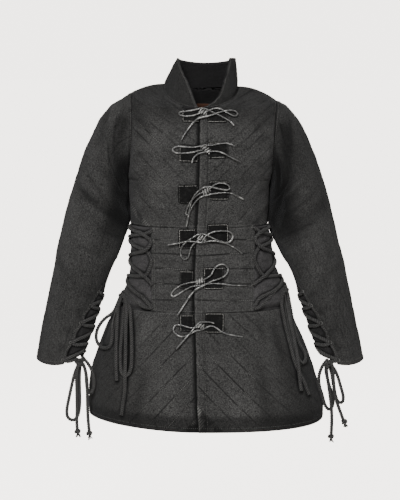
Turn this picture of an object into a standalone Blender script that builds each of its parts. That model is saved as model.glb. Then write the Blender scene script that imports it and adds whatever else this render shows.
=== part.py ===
"""A quilted arming jacket in its worn form: padded cloth panels, a stand collar, set-in sleeves,
leather tie patches, leather ties and laced sides and cuffs. Metres, +Z up, front towards -Y.
The origin is on the median plane at the base of the neck. "Right" and "left" are the wearer's."""

import math

import bpy
import numpy as np
from mathutils import Vector
from mathutils.bvhtree import BVHTree

MM = 0.001
RIGHT = -1
LEFT = 1

# ---- sizes, in millimetres ----
WALL = 6.0            # padded cloth: canvas, wadding and canvas
LAP_WALL = 3.0        # where the padding is left out: the lapped front edges and the side underlays
SEAM_GAP = 0.36       # between two pieces that are sewn together
LAP = 22.0            # how far the right front runs under the left one
LAP_BLEND = 26.0      # the width over which a front thins towards its edge
NECK_HALF_WIDTH = 84.0
NECK_BACK_DEPTH = 50.0
NECK_FRONT_DEPTH = 103.0
NECK_Y = 8.0
NECK_POINT_Z = {RIGHT: 10.0, LEFT: 4.0}
NECK_BACK_Z = 0.0
NECK_PIT_Z = -43.0
COLLAR_WALL = 5.0
COLLAR_LEAN = 12.0    # the collar's top stands this far towards the left
COLLAR_TOP_HALF_WIDTH = 67.0
COLLAR_TOP_BACK_DEPTH = 46.0
COLLAR_TOP_FRONT_DEPTH = 74.0
COLLAR_TOP_SIDE_Z = 68.0
COLLAR_TOP_BACK_Z = 58.0
UNDERLAY_GAP = 1.8    # behind the curved panels whose edges it joins
ARM_UNDERLAY_GAP = 1.9
PATCH_LIFT = 0.65     # clears the edges between the panel's faces
PATCH_THICKNESS = 1.8
LEATHER_LACE = 3.0
COTTON_CORD = 4.0
SLIT_TOP = 8.4        # the forearm opening's upper end, as a row of SLEEVE

# Rings of the body up to the armpit: height, then the distances from the origin's axis.
RINGS = (
    # z, right, left, front, back
    (-757, 263, 286, 190, 182),
    (-710, 263, 282, 182, 174),
    (-665, 260, 268, 173, 165),
    (-620, 247, 253, 164, 155),
    (-575, 231, 236, 154, 146),
    (-535, 213, 218, 144, 136),
    (-497, 195, 206, 134, 124),
    (-450, 171, 190, 124, 108),
    (-405, 163, 171, 117, 98),
    (-355, 162, 162, 114, 93),
    (-308, 163, 154, 117, 95),
    (-274, 164, 155, 121, 101),
    (-240, 165, 156, 125, 107),
    (-205, 165, 158, 127, 112),
)
HEM_ROUNDNESS = {RIGHT: 1.72, LEFT: 2.6}   # the fronts' power at the hem: 2 is an ellipse
WAIST_LOW = 6         # rows of RINGS at the two waist seams and at the armpit
WAIST_HIGH = 10
ARMPIT = 13
TOP = 21              # the shoulder seam, counting the yoke rows on
# Rows of the front and back above the armpit: the middle's y and z or the place on the neckline,
# and the place round the armhole.
FRONT_YOKE = (
    # y, z, neckline degrees, armhole degrees
    (-127, -205, 180, 180),
    (-126, -172, 180, 152),
    (-123, -140, 180, 127),
    (-117, -108, 180, 103),
    (-108, -76, 180, 79),
    (-95, -43, 180, 56),
    (0, 0, 150, 36),
    (0, 0, 120, 18),
    (0, 0, 90, 0),
)
BACK_YOKE = (
    # y, z, neckline degrees, armhole degrees
    (112, -205, 0, 180),
    (115, -170, 0, 152),
    (114, -135, 0, 127),
    (109, -100, 0, 103),
    (100, -66, 0, 79),
    (84, -33, 0, 56),
    (58, 0, 0, 36),
    (0, 0, 45, 18),
    (0, 0, 90, 0),
)
FRONT_NECK_ROW = 18   # from this row on, the front or back starts at the neckline
BACK_NECK_ROW = 19
# The edge of the left front, which laps over the right one.
FRONT_EDGE = (
    # z, x
    (-757, -5),
    (-690, -9),
    (-583, -11),
    (-490, -15),
    (-396, -14),
    (-325, -10),
    (-257, -6),
    (-165, -3),
    (-85, -3),
    (-43, -2),
)
ARMHOLE = {
    # tip x, tip z, armpit x, front depth, back depth, inset of the middle
    RIGHT: (157, -9, 165, 60, 62, 6),
    LEFT: (172, -28, 158, 60, 62, 2),
}
ARMPIT_Z = -205.0
ARMHOLE_Y = 1.0
# Rings of the sleeves after the armhole: the outer and inner end of each, and its depth.
SLEEVE = (
    # outer z, outer x right, left, inner z, inner x right, left, front, back, middle y
    (-38, 205, 194, -213, 166.4, 159.4, 66, 68, 1),
    (-72, 233, 222, -228, 166.4, 158.6, 69, 72, 1),
    (-112, 253, 244, -247, 166.2, 157.8, 70, 73, 0),
    (-162, 274, 265, -271, 166.4, 157.0, 70, 72, -1),
    (-222, 294, 285, -301, 170, 158.4, 69, 70, -3),
    (-285, 312, 303, -335, 177, 166, 68, 68, -6),
    (-350, 328, 318, -376, 190, 185, 66, 66, -11),
    (-415, 341, 334, -428, 213, 212, 63, 63, -17),
    (-482, 355, 348, -486, 231, 231, 59, 59, -24),
    (-550, 369, 362, -549, 250, 252, 55, 55, -31),
    (-619, 381, 377, -614, 277, 276, 51, 51, -38),
)
# The two edges of the laced forearm opening, in degrees round the sleeve: 0 is its outer side,
# 90 its front and 180 its inner side.
SLIT_EDGES = (
    # row, front edge, back edge
    (0.0, 162, 168),
    (8.4, 162, 168),
    (8.8, 148, 175),
    (9.5, 132, 177),
    (10.3, 118, 178),
    (11.0, 108, 178),
)
CUFF = 11             # the last row of the sleeve, counting the armhole as row 0
CUFF_FRONT_DROP = 10.0
# The largest folds, as soft troughs across a sleeve: from a row and an angle to another.
SLEEVE_FOLDS = {
    RIGHT: (
        # from row, from degrees, to row, to degrees, depth, half width
        (0.5, 62, 2.6, 132, 6.0, 17.0),
        (1.3, 30, 2.4, 52, 3.5, 14.0),
        (3.2, 95, 4.0, 165, 4.5, 16.0),
        (4.9, 60, 5.3, 150, 4.0, 15.0),
        (4.4, 205, 5.4, 320, 5.0, 18.0),
    ),
    LEFT: (
        (1.4, 60, 5.2, 148, 7.0, 17.0),
        (4.4, 95, 4.6, 150, 4.0, 14.0),
        (5.5, 40, 6.0, 140, 3.5, 16.0),
        (4.3, 205, 5.5, 320, 5.0, 18.0),
    ),
}
# The collar's front edges, which part as they rise; degrees from the middle of the back.
COLLAR_EDGES = (
    # share of the height, right degrees, left degrees
    (0.0, 176, 178),
    (0.12, 170, 158),
    (0.3, 163, 150),
    (0.55, 149, 142),
    (0.8, 127, 133),
    (1.0, 106, 128),
)

# Leather patches, in pairs beside the front edge, on which the ties are held.
PATCHES = (
    # right: x, z of the middle, width, height; left: the same
    (-22.5, -60, 38, 28, 36.2, -61, 42, 28),
    (-26.5, -142, 43, 37, 37.2, -135, 44, 35),
    (-28.0, -232, 43, 41, 39.4, -223.5, 44, 42),
    (-30.5, -333, 38, 44, 37.5, -320.5, 46, 43),
    (-32.0, -425, 30, 40, 28.3, -421.5, 45, 48),
    (-31.5, -519, 31, 35, 30.0, -519, 42, 43),
)
# The leather ties: where each knot lies, then each lace's route from the knot, measured from it.
TIES = (
    # knot x, z, the lower lace's (x, z), the upper lace's (x, z)
    (5, -54,
     ((-5.6, -1), (-18, -6), (-36, -9), (-49, -7), (-55, -3), (-51, 1), (-38, 1.5), (-18, 6), (0, 9),
      (12, 4), (30, -4), (47, -13), (60, -21), (67, -29)),
     ((5.7, 0.4), (18, 6), (29, 8), (40, 4.5), (55, -4.5), (66, -10.5), (74.5, -8), (73, -1), (62, 2.5),
      (49, 2), (33.5, -2), (18, -7), (7.5, -10), (-3, -11.5), (-14, -16), (-24.5, -26), (-33, -37),
      (-41, -48.5), (-47, -60))),
    (11, -133,
     ((-5.7, -1.2), (-20, -4.5), (-35, -7.5), (-50, -9), (-65, -8.5), (-74.5, -3), (-71, 3), (-61, 6),
      (-46, 5), (-30.5, 3.7), (-15, 6), (-1, 9), (11, 8), (26, 11), (46, 13), (62, 6)),
     ((-31.5, -30), (-27.5, -19), (-20.5, -11.5), (-8.7, -7), (3, -5.4), (17, -4.5), (34, -7.5), (51.5, -17),
      (70, -26))),
    (11, -224,
     ((-5.8, -1.5), (-17.5, -7.5), (-29.5, -18), (-38, -31.5), (-43.5, -45), (-44.5, -54), (-39, -53),
      (-34, -43), (-27.5, -29.5), (-20, -20), (-10, -12), (2, -9), (15, -6), (32.5, -4), (52, -5),
      (73, -15), (81, -20)),
     ((5.8, 2), (16, 14), (30, 18.7), (42.5, 16), (51.5, 8.5), (49, 2.3), (34, 3.5), (17, 8), (6.5, 10),
      (-3.5, 9.6), (-14, 3.6), (-23, -5.7), (-30.5, -18.7), (-35, -35), (-39, -57.5), (-43, -79))),
    (2, -329,
     ((-5.2, -2.4), (-15.5, -12.5), (-24.5, -22.5), (-27, -35), (-30, -46), (-38.5, -51.5), (-45.5, -44),
      (-47, -30.5), (-43, -19), (-34, -9), (-22, -1), (-9, 7.5), (1, 9), (13, 5), (26, -2.5),
      (39.5, -8), (57, -16), (77, -28.5), (89, -39.5)),
     ((5.5, 1.8), (15, 10), (28, 14.7), (43, 16), (58, 14), (66, 7), (66, -3.5), (59, -10.5), (45, -11),
      (30, -7), (17, -6.5), (6.5, -9.3), (-6.5, -10), (-22, -7.6), (-37, -8.6), (-56, -13.7),
      (-73.5, -17))),
    (-2, -427,
     ((-5.8, -1), (-18, -3), (-37.5, -8), (-54, -17.5), (-64.5, -30.5), (-60.5, -37), (-48.5, -30),
      (-34, -20.5), (-20, -13), (-6.6, -10), (4.5, -9.6), (17.5, -6), (33, -5.6), (50.5, -7.3),
      (70.5, -10.6), (101.5, -13)),
     ((5.9, 2), (15, 7), (25, 14.5), (28.5, 24.5), (36, 34), (47.5, 38), (58.5, 31.5), (61, 21.5),
      (53, 10), (37, 3), (22, -1.5), (12, -8), (2, -12.5), (-8.7, -18), (-22, -33), (-35, -53.5),
      (-49, -75.5))),
    (-1, -525,
     ((-5.8, -1.6), (-16.5, -5), (-29.5, -3), (-42.5, 1), (-55, 1), (-61.5, -7), (-58, -16.5), (-47, -23),
      (-34, -23.5), (-22, -17), (-10, -10.5), (1, -9), (12.4, -4), (21, 0), (30, -1.3), (40, -8.5),
      (52, -16.5), (69.5, -21), (93, -26)),
     ((30, 5), (19, 8), (7, 8), (-3, 7.2), (-9.7, 1), (-17.5, -9.5), (-29, -22.5), (-42, -38),
      (-53, -51))),
)
LOWER_LIFT = 4.5      # the laces' middle above the cloth
UPPER_LIFT = 8.5
KNOT_LIFT = 6.2
# The laced sides: holes down the front waist panel and down the back, and the places in between,
# close to the front holes, where the two ends of the cord cross.
LACED_EDGE_X = {RIGHT: 113.0, LEFT: 122.0}
FRONT_HOLE_X = {RIGHT: 107.0, LEFT: 116.0}
FRONT_HOLES = {RIGHT: (-316, -342, -384, -441, -489), LEFT: (-310, -336, -382, -440, -491)}
BACK_HOLES = (-316, -344, -388, -434)
BACK_HOLE_W = 1.06    # round the side: 0 is the front's middle, 1 the side seam, 2 the back's middle
CROSSED = {
    # x, z
    RIGHT: ((121, -326), (118, -364), (121, -421)),
    LEFT: ((127, -322), (126, -357), (137, -423)),
}
SIDE_ARC = 210.0      # round the waist from the front's middle to the side seam
CORD_LIFT = 3.9
CROSSING_LIFT = 4.5   # more, where a cord goes over the other one
# How a cord turns at a hole: its share of the way across, and of the way down, to the next hole.
CROSSING = (
    (0.0, 0.0),
    (0.08, 0.16),
    (0.2, 0.3),
    (0.4, 0.44),
    (0.6, 0.56),
    (0.8, 0.7),
    (0.92, 0.84),
)
# Routes of the side laces below the holes, as (x, z, lift), or (x, z, lift, y) in the free air.
SIDE_LOOP = {
    RIGHT: ((-119, -491, 3.8), (-134, -486, 3.4), (-152, -476, 3.4), (-167, -467, 3.4), (-177, -468, 3.6),
            (-183, -481, 4.0), (-189, -497, 5.0), (-202, -512, 0, -44), (-222, -527, 0, -42),
            (-236, -545, 0, -42), (-242, -563, 0, -44), (-240, -580, 0, -48), (-230, -591, 0, -54),
            (-216, -592, 4.0), (-204, -584, 3.6), (-200, -566, 3.4), (-199, -545, 3.4), (-195, -522, 3.4),
            (-187, -500, 3.6), (-178, -483, 3.6)),
    LEFT: ((126, -491, 3.8), (139, -483, 3.4), (154, -470, 3.4), (172, -454, 3.4), (188, -449, 3.6),
           (196, -457, 3.6), (200, -474, 3.4), (203, -500, 3.4), (208, -530, 3.4), (214, -556, 3.4),
           (222, -578, 3.4), (232, -597, 3.4), (238, -611, 3.4), (235, -622, 3.4), (226, -622, 3.4),
           (219, -611, 3.4), (213, -592, 3.4), (205, -564, 3.4), (198, -533, 3.4), (193, -503, 3.4),
           (189, -480, 3.4), (186, -466, 3.5)),
}
SIDE_SECOND_LOOP = (
    (-166, -485, 3.6), (-159, -497, 3.4), (-157, -517, 3.4), (-155, -548, 3.4), (-154, -586, 3.4),
    (-155, -620, 3.4), (-161, -638, 3.4), (-171, -644, 3.4), (-178, -635, 3.4), (-180, -614, 3.4),
    (-180, -584, 3.4), (-177, -556, 3.4), (-174, -528, 3.4), (-172, -505, 3.4), (-170, -488, 3.5),
)
SIDE_ENDS = {
    RIGHT: ((-189, -657, 3.4), (-190, -622, 3.4), (-190, -584, 3.4), (-189, -546, 3.6), (-186, -518, 5.6),
            (-182, -496, 8.1), (-174, -477, 8.3), (-166, -481, 8.2), (-163, -500, 8.1), (-165, -530, 7.8),
            (-166, -566, 7.2), (-166, -604, 7.8), (-167, -640, 8.0), (-169, -674, 5.0), (-174, -704, 3.4),
            (-178, -733, 3.4)),
    LEFT: ((225, -679, 3.4), (221, -660, 4.4), (217, -636, 7.6), (213, -606, 8.1), (207, -572, 8.1),
           (200, -538, 8.1), (196, -505, 8.1), (194, -480, 8.2), (188, -462, 8.3), (181, -470, 7.2),
           (181, -490, 4.0), (186, -518, 3.4), (193, -550, 3.4), (201, -580, 3.4), (208, -608, 3.4),
           (216, -630, 3.4), (225, -648, 3.4), (235, -670, 3.4), (243, -691, 3.4)),
}
# The laced forearms: rows of the holes down the front edge of the opening and down its back edge.
ARM_HOLES = (
    # front row, back row
    (8.6, 8.87),
    (9.1, 9.38),
    (9.7, 10.0),
    (10.3, 10.62),
    (10.84, None),
)
ARM_FRONT_HOLE = 9.0  # degrees in front of the opening's front edge
ARM_BACK_HOLE = 184.0
# Routes of the forearm laces below the cuff, as (x, y, z).
ARM_LOOP = {
    RIGHT: ((-280, -70, -623), (-284, -70, -634), (-291, -69, -652), (-298, -67, -680), (-305, -65, -711),
            (-310, -64, -737), (-309, -63, -754), (-300, -62, -762), (-290, -62, -760), (-283, -62, -745),
            (-280, -62, -720), (-280, -62, -690), (-280, -62, -660), (-279, -63, -642), (-277, -65, -629)),
    LEFT: ((286, -77, -619), (280, -76, -627), (274, -75, -640), (270, -74, -657), (272, -73, -679),
           (279, -72, -701), (285, -71, -723), (295, -70, -736), (303, -69, -728), (304, -69, -706),
           (297, -69, -685), (290, -70, -661), (286, -71, -642), (287, -73, -628)),
}
ARM_SECOND_LOOP = {
    RIGHT: ((-275, -53, -610), (-270, -61, -616), (-262, -65, -624), (-254, -65, -637), (-248, -65, -654),
            (-246, -64, -674), (-249, -63, -691), (-256, -62, -699), (-262, -62, -692), (-264, -62, -675),
            (-265, -62, -652), (-268, -64, -637), (-271, -66, -627)),
    LEFT: ((293, -77, -626), (303, -78, -634), (312, -78, -652), (320, -77, -678), (327, -76, -704),
           (325, -75, -717), (315, -74, -716), (308, -73, -696), (303, -73, -670), (299, -73, -647),
           (294, -74, -634)),
}
ARM_ENDS = {
    RIGHT: ((-285, -68, -790), (-287, -68, -766), (-286, -68, -733), (-286, -69, -695), (-286, -71, -658),
            (-283, -74, -634), (-277, -73.8, -621), (-270, -71.2, -628), (-266, -68.5, -642),
            (-263, -67, -660), (-262, -66, -688), (-262, -66, -722), (-261, -66, -757), (-258, -66, -795)),
    LEFT: ((300, -75, -800), (301, -75, -764), (300, -75, -733), (296, -76, -700), (291, -77, -667),
           (287, -80, -641), (287.5, -86, -621), (295, -91.5, -619), (301, -86, -634), (303.5, -80, -667),
           (309, -78.5, -705), (319, -79, -735), (330, -79, -764)),
}
LABEL = (-13.0, 33.0, 18.0, 17.05)   # x from and to, and the back's rows at its top and bottom
LABEL_LIFT = 1.7      # clears the edges between the back's faces
LABEL_THICKNESS = 0.8

CLOTH_BLACK = (0.030, 0.030, 0.032)
UNDERLAY_BLACK = (0.022, 0.020, 0.026)
LEATHER_BLACK = (0.010, 0.010, 0.011)
LACE_BLACK = (0.035, 0.035, 0.036)
CORD_BLACK = (0.020, 0.020, 0.021)
LABEL_BROWN = (0.085, 0.030, 0.016)


FRONT_NECK_ROWS = [FRONT_NECK_ROW + i / 2 for i in range(7)]
BACK_NECK_ROWS = [BACK_NECK_ROW + i / 3 for i in range(7)]
NECK_STOPS = [15.0 * i for i in range(13)]


def clear_scene():
    for obj in list(bpy.data.objects):
        bpy.data.objects.remove(obj, do_unlink=True)


def smooth(start, end, value):
    share = min(max((value - start) / (end - start), 0.0), 1.0)
    return share * share * (3 - 2 * share)


def unit(vector):
    return vector / np.linalg.norm(vector)


def through(rows, place):
    """A smooth curve through a table's rows, at a place counted in rows."""
    rows = np.asarray(rows, float)
    i = min(max(int(math.floor(place)), 0), len(rows) - 2)
    f = place - i
    first, second = rows[i], rows[i + 1]
    before = rows[i - 1] if i > 0 else 2 * first - second
    after = rows[i + 2] if i + 2 < len(rows) else 2 * second - first
    return 0.5 * (
        2 * first
        + (second - before) * f
        + (2 * before - 5 * first + 4 * second - after) * f * f
        + (3 * first - before - 3 * second + after) * f * f * f
    )


def by_column(rows, value):
    """A table's later columns at a value of its first one, on straight lines."""
    rows = sorted(rows)
    keys = [row[0] for row in rows]
    return [np.interp(value, keys, [row[i] for row in rows]) for i in range(1, len(rows[0]))]


def on_chords(curve, stops, degrees):
    """A curve's value on the straight lines between its stops, so that both sides of a seam meet."""
    high = next(i for i in range(1, len(stops)) if degrees <= stops[i] or i == len(stops) - 1)
    low = high - 1
    share = (degrees - stops[low]) / (stops[high] - stops[low])
    return curve(stops[low]) * (1 - share) + curve(stops[high]) * share


def neckline(degrees, side):
    """The seam between body and collar; 0 is the middle of the back and 180 the front."""
    angle = math.radians(degrees)
    c = math.cos(angle)
    high = NECK_POINT_Z[side]
    if c >= 0:
        y = NECK_Y + NECK_BACK_DEPTH * c
        z = high + (NECK_BACK_Z - high) * c
    else:
        y = NECK_Y + NECK_FRONT_DEPTH * c
        z = high + (NECK_PIT_Z - high) * (-c) ** 0.8
    return np.array([side * NECK_HALF_WIDTH * math.sin(angle), y, z])


def neck_mitre(degrees, side):
    """From the outside to the inside of the wall, along the collar seam."""
    angle = math.radians(degrees)
    inward = np.array([-side * math.sin(angle), -math.cos(angle), 0.0])
    inward[2] = -(0.35 + 0.65 * math.sin(angle) ** 2)
    return unit(inward)


def armhole(degrees, side):
    """The armhole seam; 0 is the shoulder tip, 90 the front, 180 the armpit and 270 the back."""
    tip_x, tip_z, pit_x, front, back, inset = ARMHOLE[side]
    angle = math.radians(degrees)
    share = (1 - math.cos(angle)) / 2
    s = math.sin(angle)
    x = tip_x + (pit_x - tip_x) * share - inset * s * s
    y = ARMHOLE_Y * (1 - share) - (front if s > 0 else back) * s
    z = tip_z + (ARMPIT_Z - tip_z) * share
    return np.array([side * x, y, z])


def arm_mitre(degrees, side):
    """From the outside to the inside of the wall, along the armhole seam."""
    angle = math.radians(degrees)
    share = (1 - math.cos(angle)) / 2
    return unit(np.array([-side * share, math.sin(angle), -math.cos(angle)]))


def beyond(mitre, way):
    """The direction across a seam, square to its mitre and nearest to a given way."""
    return unit(way - np.dot(way, mitre) * mitre)


def body_ends(side, row, front):
    """The middle point and the side point of one row of the body."""
    if row <= ARMPIT:
        z, right, left, fore, aft = through(RINGS, row)
        middle = np.array([0.0, -fore if front else aft, z])
        return middle, np.array([side * (right if side == RIGHT else left), 0.0, z])
    start = FRONT_NECK_ROW if front else BACK_NECK_ROW
    yoke = FRONT_YOKE if front else BACK_YOKE
    neck, arm = yoke_degrees(row, front)
    if row >= start:
        middle = neckline(neck, side)
    else:
        y, z = through([line[:2] for line in yoke[:start - ARMPIT + 1]], row - ARMPIT)
        middle = np.array([0.0, y, z])
    return middle, armhole(arm if front else 360 - arm, side)


def yoke_degrees(row, front):
    """Where a row above the armpit starts on the neckline and ends on the armhole."""
    yoke = FRONT_YOKE if front else BACK_YOKE
    places = range(len(yoke))
    return [np.interp(row - ARMPIT, places, [line[i] for line in yoke]) for i in (2, 3)]


def body(side, s, row, front=True):
    """The cloth's outside before laps: s runs from the middle, 0, to the side or armhole, 1."""
    middle, edge = body_ends(side, row, front)
    straight = smooth(ARMPIT + 2, TOP, row)
    q = (1 - straight) * math.sin(s * math.pi / 2) + straight * s
    n = 2.1 + 0.15 * smooth(WAIST_HIGH - 1, WAIST_HIGH + 2, row)
    if front:
        n += (HEM_ROUNDNESS[side] - 2.1) * (1 - smooth(0, WAIST_LOW, row))
    depth = (1 - straight) * max(1 - abs(q) ** n, 0.0) ** (1 / n) + straight * (1 - abs(q) ** 1.3)
    y = edge[1] + (middle[1] - edge[1]) * depth
    x = middle[0] + (edge[0] - middle[0]) * q
    z = middle[2] + (edge[2] - middle[2]) * q * q
    return np.array([x, y, z])


def body_normal(side, s, row, front=True):
    step = 0.01
    low, high = max(row - step, 0), min(row + step, TOP)
    along = body(side, s, high, front) - body(side, s, low, front)
    across = body(side, min(s + step, 1), row, front) - body(side, s - step, row, front)
    if s > 0.999 and row <= ARMPIT:
        across = np.array([0.0, 1.0 if front else -1.0, 0.0])
    if row > TOP - 0.001:
        along = np.array([0.0, 1.0 if front else -1.0, 0.0])
    normal = unit(np.cross(across, along)) * side
    return normal if front else -normal


def edge_x(z):
    return by_column(FRONT_EDGE, z)[0]


def front_surface(side, s, row):
    """(point, normal, wall) of a front, thinned and set back where the two fronts lap."""
    point = body(side, s, row)
    normal = body_normal(side, s, row)
    from_edge = side * (point[0] - edge_x(point[2]))
    if side == LEFT:
        return point, normal, WALL - (WALL - LAP_WALL) * (1 - smooth(LAP + 1, LAP + LAP_BLEND, from_edge))
    sunk = 1 - smooth(3.0, LAP_BLEND, from_edge)
    wall = WALL - (WALL - LAP_WALL) * sunk
    return point - normal * (LAP_WALL + SEAM_GAP) * sunk, normal, wall


def s_at_x(side, x, row):
    """The s at which a row of the body has this x."""
    middle, edge = body_ends(side, row, True)
    share = (x - middle[0]) / (edge[0] - middle[0])
    straight = smooth(ARMPIT + 2, TOP, row)
    s = math.asin(min(max(share, -1), 1)) / (math.pi / 2)
    for _ in range(6):
        q = (1 - straight) * math.sin(s * math.pi / 2) + straight * s
        s -= (q - share) / ((1 - straight) * math.cos(s * math.pi / 2) * math.pi / 2 + straight + 1e-6)
    return s


def find_front(x, z, side):
    """(s, row) of the front of the body at this x and z."""
    s, row = 0.3, float(np.interp(z, [r[0] for r in RINGS], range(len(RINGS))))
    if z > ARMPIT_Z:
        row = ARMPIT + (z - ARMPIT_Z) / 33
    for _ in range(12):
        here = body(side, s, row)
        ds = body(side, s + 0.002, row) - here
        dr = body(side, s, row + 0.002) - here
        slope = np.array([[ds[0], dr[0]], [ds[2], dr[2]]]) / 0.002
        miss = np.array([x - here[0], z - here[2]])
        move = np.linalg.solve(slope, miss)
        s = min(max(s + min(max(move[0], -0.2), 0.2), -0.3), 0.985)
        row = min(max(row + min(max(move[1], -1.5), 1.5), 0.0), TOP - 0.02)
    return s, row


def over_front(x, z, lift):
    """The point of the fronts at this x and z, moved out by lift, lapped edge left out."""
    side = LEFT if x > 0 else RIGHT
    s, row = find_front(x, z, side)
    return body(side, s, row) + body_normal(side, s, row) * lift


def sleeve_ring(side, row):
    line = through(SLEEVE, row - 1)
    out_z, out_right, out_left, in_z, in_right, in_left, front, back, middle_y = line
    out_x = out_right if side == RIGHT else out_left
    in_x = in_right if side == RIGHT else in_left
    return np.array([side * out_x, 0, out_z]), np.array([side * in_x, 0, in_z]), front, back, middle_y


def sleeve_plain(side, degrees, row):
    """The sleeve's outside without folds; row 0 is the armhole."""
    angle = math.radians(degrees)
    c, s = math.cos(angle), math.sin(angle)
    outer, inner, front, back, middle_y = sleeve_ring(side, max(row, 1))
    point = (outer + inner) / 2 + (outer - inner) / 2 * c
    point = point + np.array([0, middle_y - (front if s > 0 else back) * s, 0])
    drop = smooth(CUFF - 1.6, CUFF, row) * CUFF_FRONT_DROP
    point[2] -= drop * s * s if s > 0 else -0.3 * drop * s * s
    if row < 1:
        seam = armhole(degrees, side)
        return seam + (point - seam) * row
    return point


def sleeve_normal(side, degrees, row):
    low, high = max(row - 0.05, 0), min(row + 0.05, CUFF)
    along = sleeve_plain(side, degrees, high) - sleeve_plain(side, degrees, low)
    across = sleeve_plain(side, degrees + 2, row) - sleeve_plain(side, degrees - 2, row)
    return unit(np.cross(across, along)) * side


def fold_depth(side, point):
    """How far the folds draw the cloth in at a point of the sleeve."""
    depth = 0.0
    for row_a, deg_a, row_b, deg_b, most, width in SLEEVE_FOLDS[side]:
        a = sleeve_plain(side, deg_a, row_a)
        b = sleeve_plain(side, deg_b, row_b)
        middle = sleeve_plain(side, (deg_a + deg_b) / 2, (row_a + row_b) / 2)
        for p, q in ((a, middle), (middle, b)):
            share = np.dot(point - p, q - p) / np.dot(q - p, q - p)
            nearest = p + (q - p) * min(max(share, 0), 1)
            away = np.linalg.norm(point - nearest) / width
            depth = max(depth, most * math.exp(-away * away))
    return depth


def sleeve_surface(side, degrees, row):
    point = sleeve_plain(side, degrees, row)
    normal = sleeve_normal(side, degrees, row)
    return point - normal * fold_depth(side, point) * smooth(0, 0.8, row), normal


def collar_surface(side_share, share):
    """(point, normal) of the collar's outside: side_share from -1, its right front edge, to 1."""
    right, left = by_column(COLLAR_EDGES, share)
    side = RIGHT if side_share < 0 else LEFT
    degrees = abs(side_share) * (right if side == RIGHT else left)
    return collar_point(side, degrees, share), collar_normal(side, degrees, share)


def collar_point(side, degrees, share):
    angle = math.radians(degrees)
    c, s = math.cos(angle), math.sin(angle)
    base = neckline(degrees, side)
    top_z = COLLAR_TOP_SIDE_Z + (COLLAR_TOP_BACK_Z - COLLAR_TOP_SIDE_Z) * max(c, 0) ** 1.5
    depth = COLLAR_TOP_BACK_DEPTH if c >= 0 else COLLAR_TOP_FRONT_DEPTH
    top = np.array([COLLAR_LEAN + side * COLLAR_TOP_HALF_WIDTH * s, NECK_Y + depth * c, top_z])
    bulge = 1 + 0.02 * math.sin(math.pi * share)
    point = base + (top - base) * share
    return np.array([point[0] * bulge, point[1] * bulge, point[2]])


def collar_normal(side, degrees, share):
    along = collar_point(side, degrees, min(share + 0.02, 1)) - collar_point(side, degrees, max(share - 0.02, 0))
    across = collar_point(side, degrees + 1, share) - collar_point(side, max(degrees - 1, -1), share)
    return unit(np.cross(along, across)) * side


def material(name, colour, roughness):
    found = bpy.data.materials.new(name)
    found.use_nodes = True
    shader = found.node_tree.nodes["Principled BSDF"]
    shader.inputs["Base Color"].default_value = (*colour, 1.0)
    shader.inputs["Roughness"].default_value = roughness
    return found


def solid(name, points, faces, colour, roughness):
    used = sorted({i for face in faces for i in face})
    place = {old: new for new, old in enumerate(used)}
    points = np.asarray(points)[used] * MM
    faces = [[place[i] for i in face] for face in faces]
    volume = 0.0
    for face in faces:
        for i in range(1, len(face) - 1):
            volume += np.dot(points[face[0]], np.cross(points[face[i]], points[face[i + 1]]))
    if volume < 0:
        faces = [face[::-1] for face in faces]
    mesh = bpy.data.meshes.new(name)
    mesh.from_pydata(points.tolist(), [], faces)
    mesh.update()
    obj = bpy.data.objects.new(name, mesh)
    bpy.context.scene.collection.objects.link(obj)
    obj.data.materials.append(material(name, colour, roughness))
    return obj


def shell(name, outer, inner, colour, wrap=False, missing=(), roughness=0.9):
    """A closed wall between two grids of points, without the quads named in missing."""
    outer, inner = np.asarray(outer), np.asarray(inner)
    rows, columns = outer.shape[:2]
    count = rows * columns
    faces = []
    for r in range(rows - 1):
        for c in range(columns if wrap else columns - 1):
            if (r, c) in missing:
                continue
            d = (c + 1) % columns
            faces.append([r * columns + c, r * columns + d, (r + 1) * columns + d, (r + 1) * columns + c])
    points = np.concatenate([outer.reshape(-1, 3), inner.reshape(-1, 3)])
    backs = [[i + count for i in face[::-1]] for face in faces]
    return solid(name, points, faces + backs + rim_of(faces, points, count), colour, roughness)


def rim_of(faces, points, count):
    """The wall's edge faces. Each is split from its lower end, so that both sides of a seam agree."""
    edges = {(face[i], face[(i + 1) % 4]) for face in faces for i in range(4)}
    rim = []
    for a, b in sorted(edges):
        if (b, a) in edges:
            continue
        if np.dot(points[a] - points[b], (0.11, 0.37, 1.0)) < 0:
            rim += [[b, a, b + count], [a, a + count, b + count]]
        else:
            rim += [[b, a, a + count], [b, a + count, b + count]]
    return rim


def body_panel(side, s_steps, rows, front, low_seam=True, high_seam=True):
    """One panel of the body between two rows. s_steps(row) gives its columns."""
    outer, inner = [], []
    for row in rows:
        line_out, line_in = [], []
        for s in s_steps(row):
            if front:
                point, normal, wall = front_surface(side, s, row)
            else:
                point, normal, wall = body(side, s, row, False), body_normal(side, s, row, False), WALL
            inward = -normal
            if s > 0.999 and row > ARMPIT - 0.001:
                degrees = yoke_degrees(row, front)[1]
                inward = arm_mitre(degrees if front else 360 - degrees, side) * 1.15
            elif s < 0.001 and row > (FRONT_NECK_ROW + 0.1 if front else BACK_NECK_ROW - 0.001):
                inward = neck_mitre(yoke_degrees(row, front)[0], side) * 1.15
            shift = np.zeros(3)
            across = -1 if front else 1
            if (s > 0.999 and row <= ARMPIT) or row > TOP - 0.001:
                shift[1] = across * SEAM_GAP / 2
            if row == rows[0] and low_seam:
                shift[2] = SEAM_GAP / 2
            if row == rows[-1] and high_seam:
                shift[2] = -SEAM_GAP / 2
            line_out.append(point + shift)
            line_in.append(point + shift + inward * wall)
        outer.append(line_out)
        inner.append(line_in)
    return outer, inner


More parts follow.
